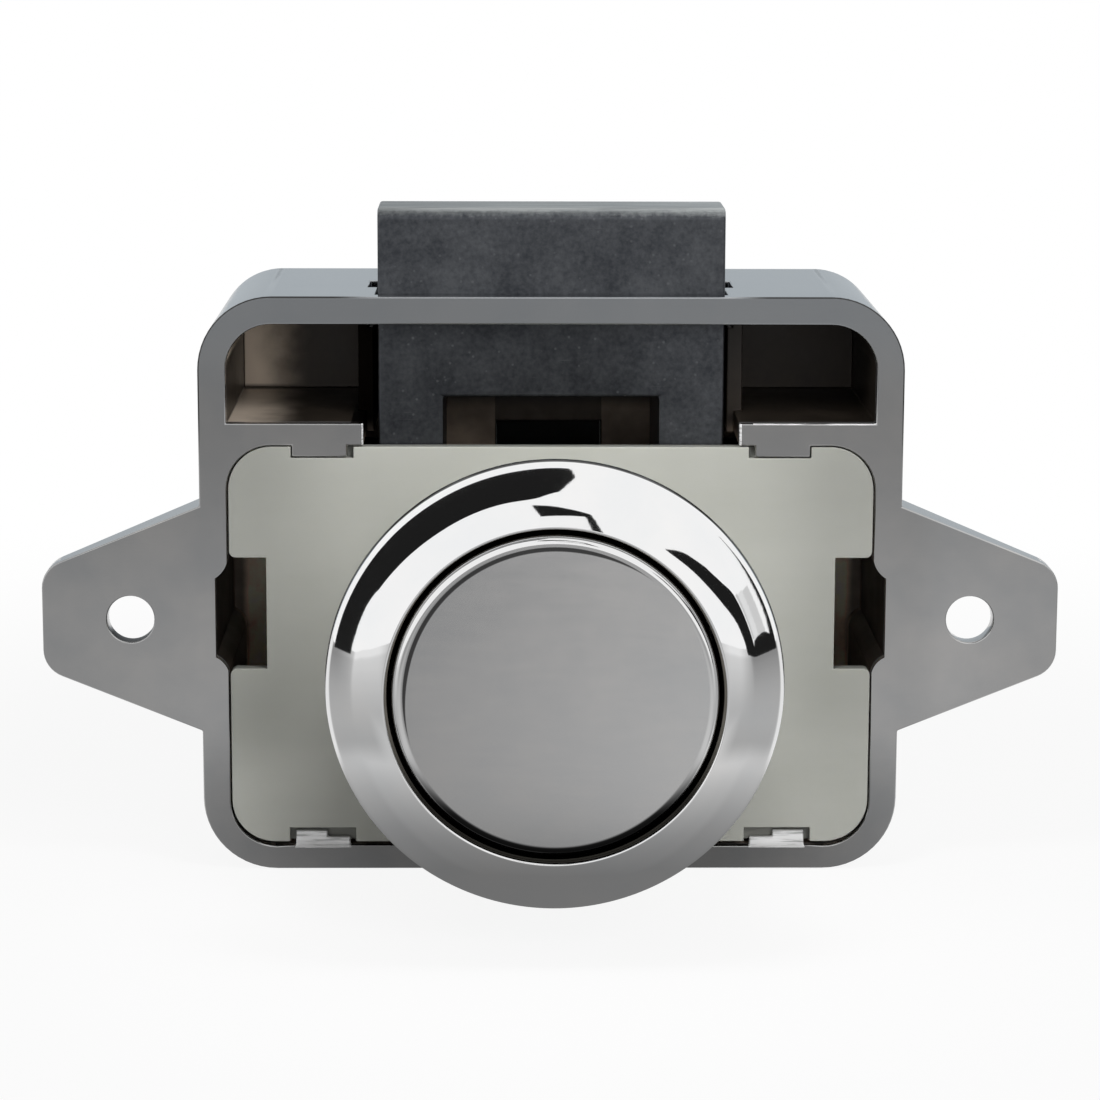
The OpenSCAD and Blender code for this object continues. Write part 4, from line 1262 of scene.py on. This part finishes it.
sky_strip("swoosh_flag", [
    ((35.5, 28.0), (36.0, 26.8)), ((45.9, 30.5), (38.1, 25.0)), ((53.0, 26.7), (43.5, 21.6)),
    ((61.4, 22.2), (48.1, 17.4)), ((80.7, 19.7), (54.9, 12.2)), ((82.2, 15.5), (60.0, 8.2)),
    ((83.5, 8.0), (62.9, 3.0)), ((85.6, 2.3), (64.0, -0.5)), ((86.0, -2.5), (64.5, -2.5)),
], black)
sky_strip("low_block", [
    ((84.5, 0.8), (84.5, -2.5)), ((89.8, 3.4), (89.8, -2.5)), ((93.2, 4.2), (93.2, -2.5)),
    ((95.8, 2.6), (95.8, -2.5)), ((97.8, 0.2), (97.8, -2.5)),
], black)
sky_strip("rim_flag", [
    ((92.0, 34.0), (93.0, 34.0)), ((92.6, 23.0), (96.0, 23.0)), ((93.6, 15.2), (98.0, 15.2)),
    ((95.0, 7.0), (99.0, 7.0)), ((96.0, -2.5), (100.0, -2.5)),
], black)
for number, (start, end, shade) in enumerate(((84.0, 86.3, 0.62), (86.3, 88.6, 0.80), (88.6, 91.5, 0.66))):
    sky_strip(f"side_sheet_{number + 1}", [
        ((start, 17.5), (end, 18.0)),
        ((start + 1.0, 10.0), (end + 1.0, 10.5)),
        ((start + 2.5, 3.0), (end + 2.5, 3.5)),
    ], grey(shade), SKY_FAR_R)
sky_strip("lamp_frame", [
    ((-9.7, 50.4), (-4.0, 38.6)), ((0.5, 49.1), (0.5, 26.0)),
    ((8.6, 45.8), (8.6, 26.0)), ((14.2, 42.3), (13.5, 26.0)),
], black, SKY_FAR_R)
sky_strip("lamp_pane", [
    ((-4.2, 38.6), (-4.2, 29.0)), ((3.5, 39.2), (3.5, 29.0)), ((11.3, 39.5), (10.8, 29.0)),
], grey(0.98))
card("back_card", [
    (-BACK_HALF_W, BACK_Y, FLOOR_Z),
    (BACK_HALF_W, BACK_Y, FLOOR_Z),
    (BACK_HALF_W, BACK_Y, BACK_TOP),
    (-BACK_HALF_W, BACK_Y, BACK_TOP),
], rgb(0.50, 0.54, 0.57))

view = bpy.context.scene.view_settings
view.view_transform = "Standard"
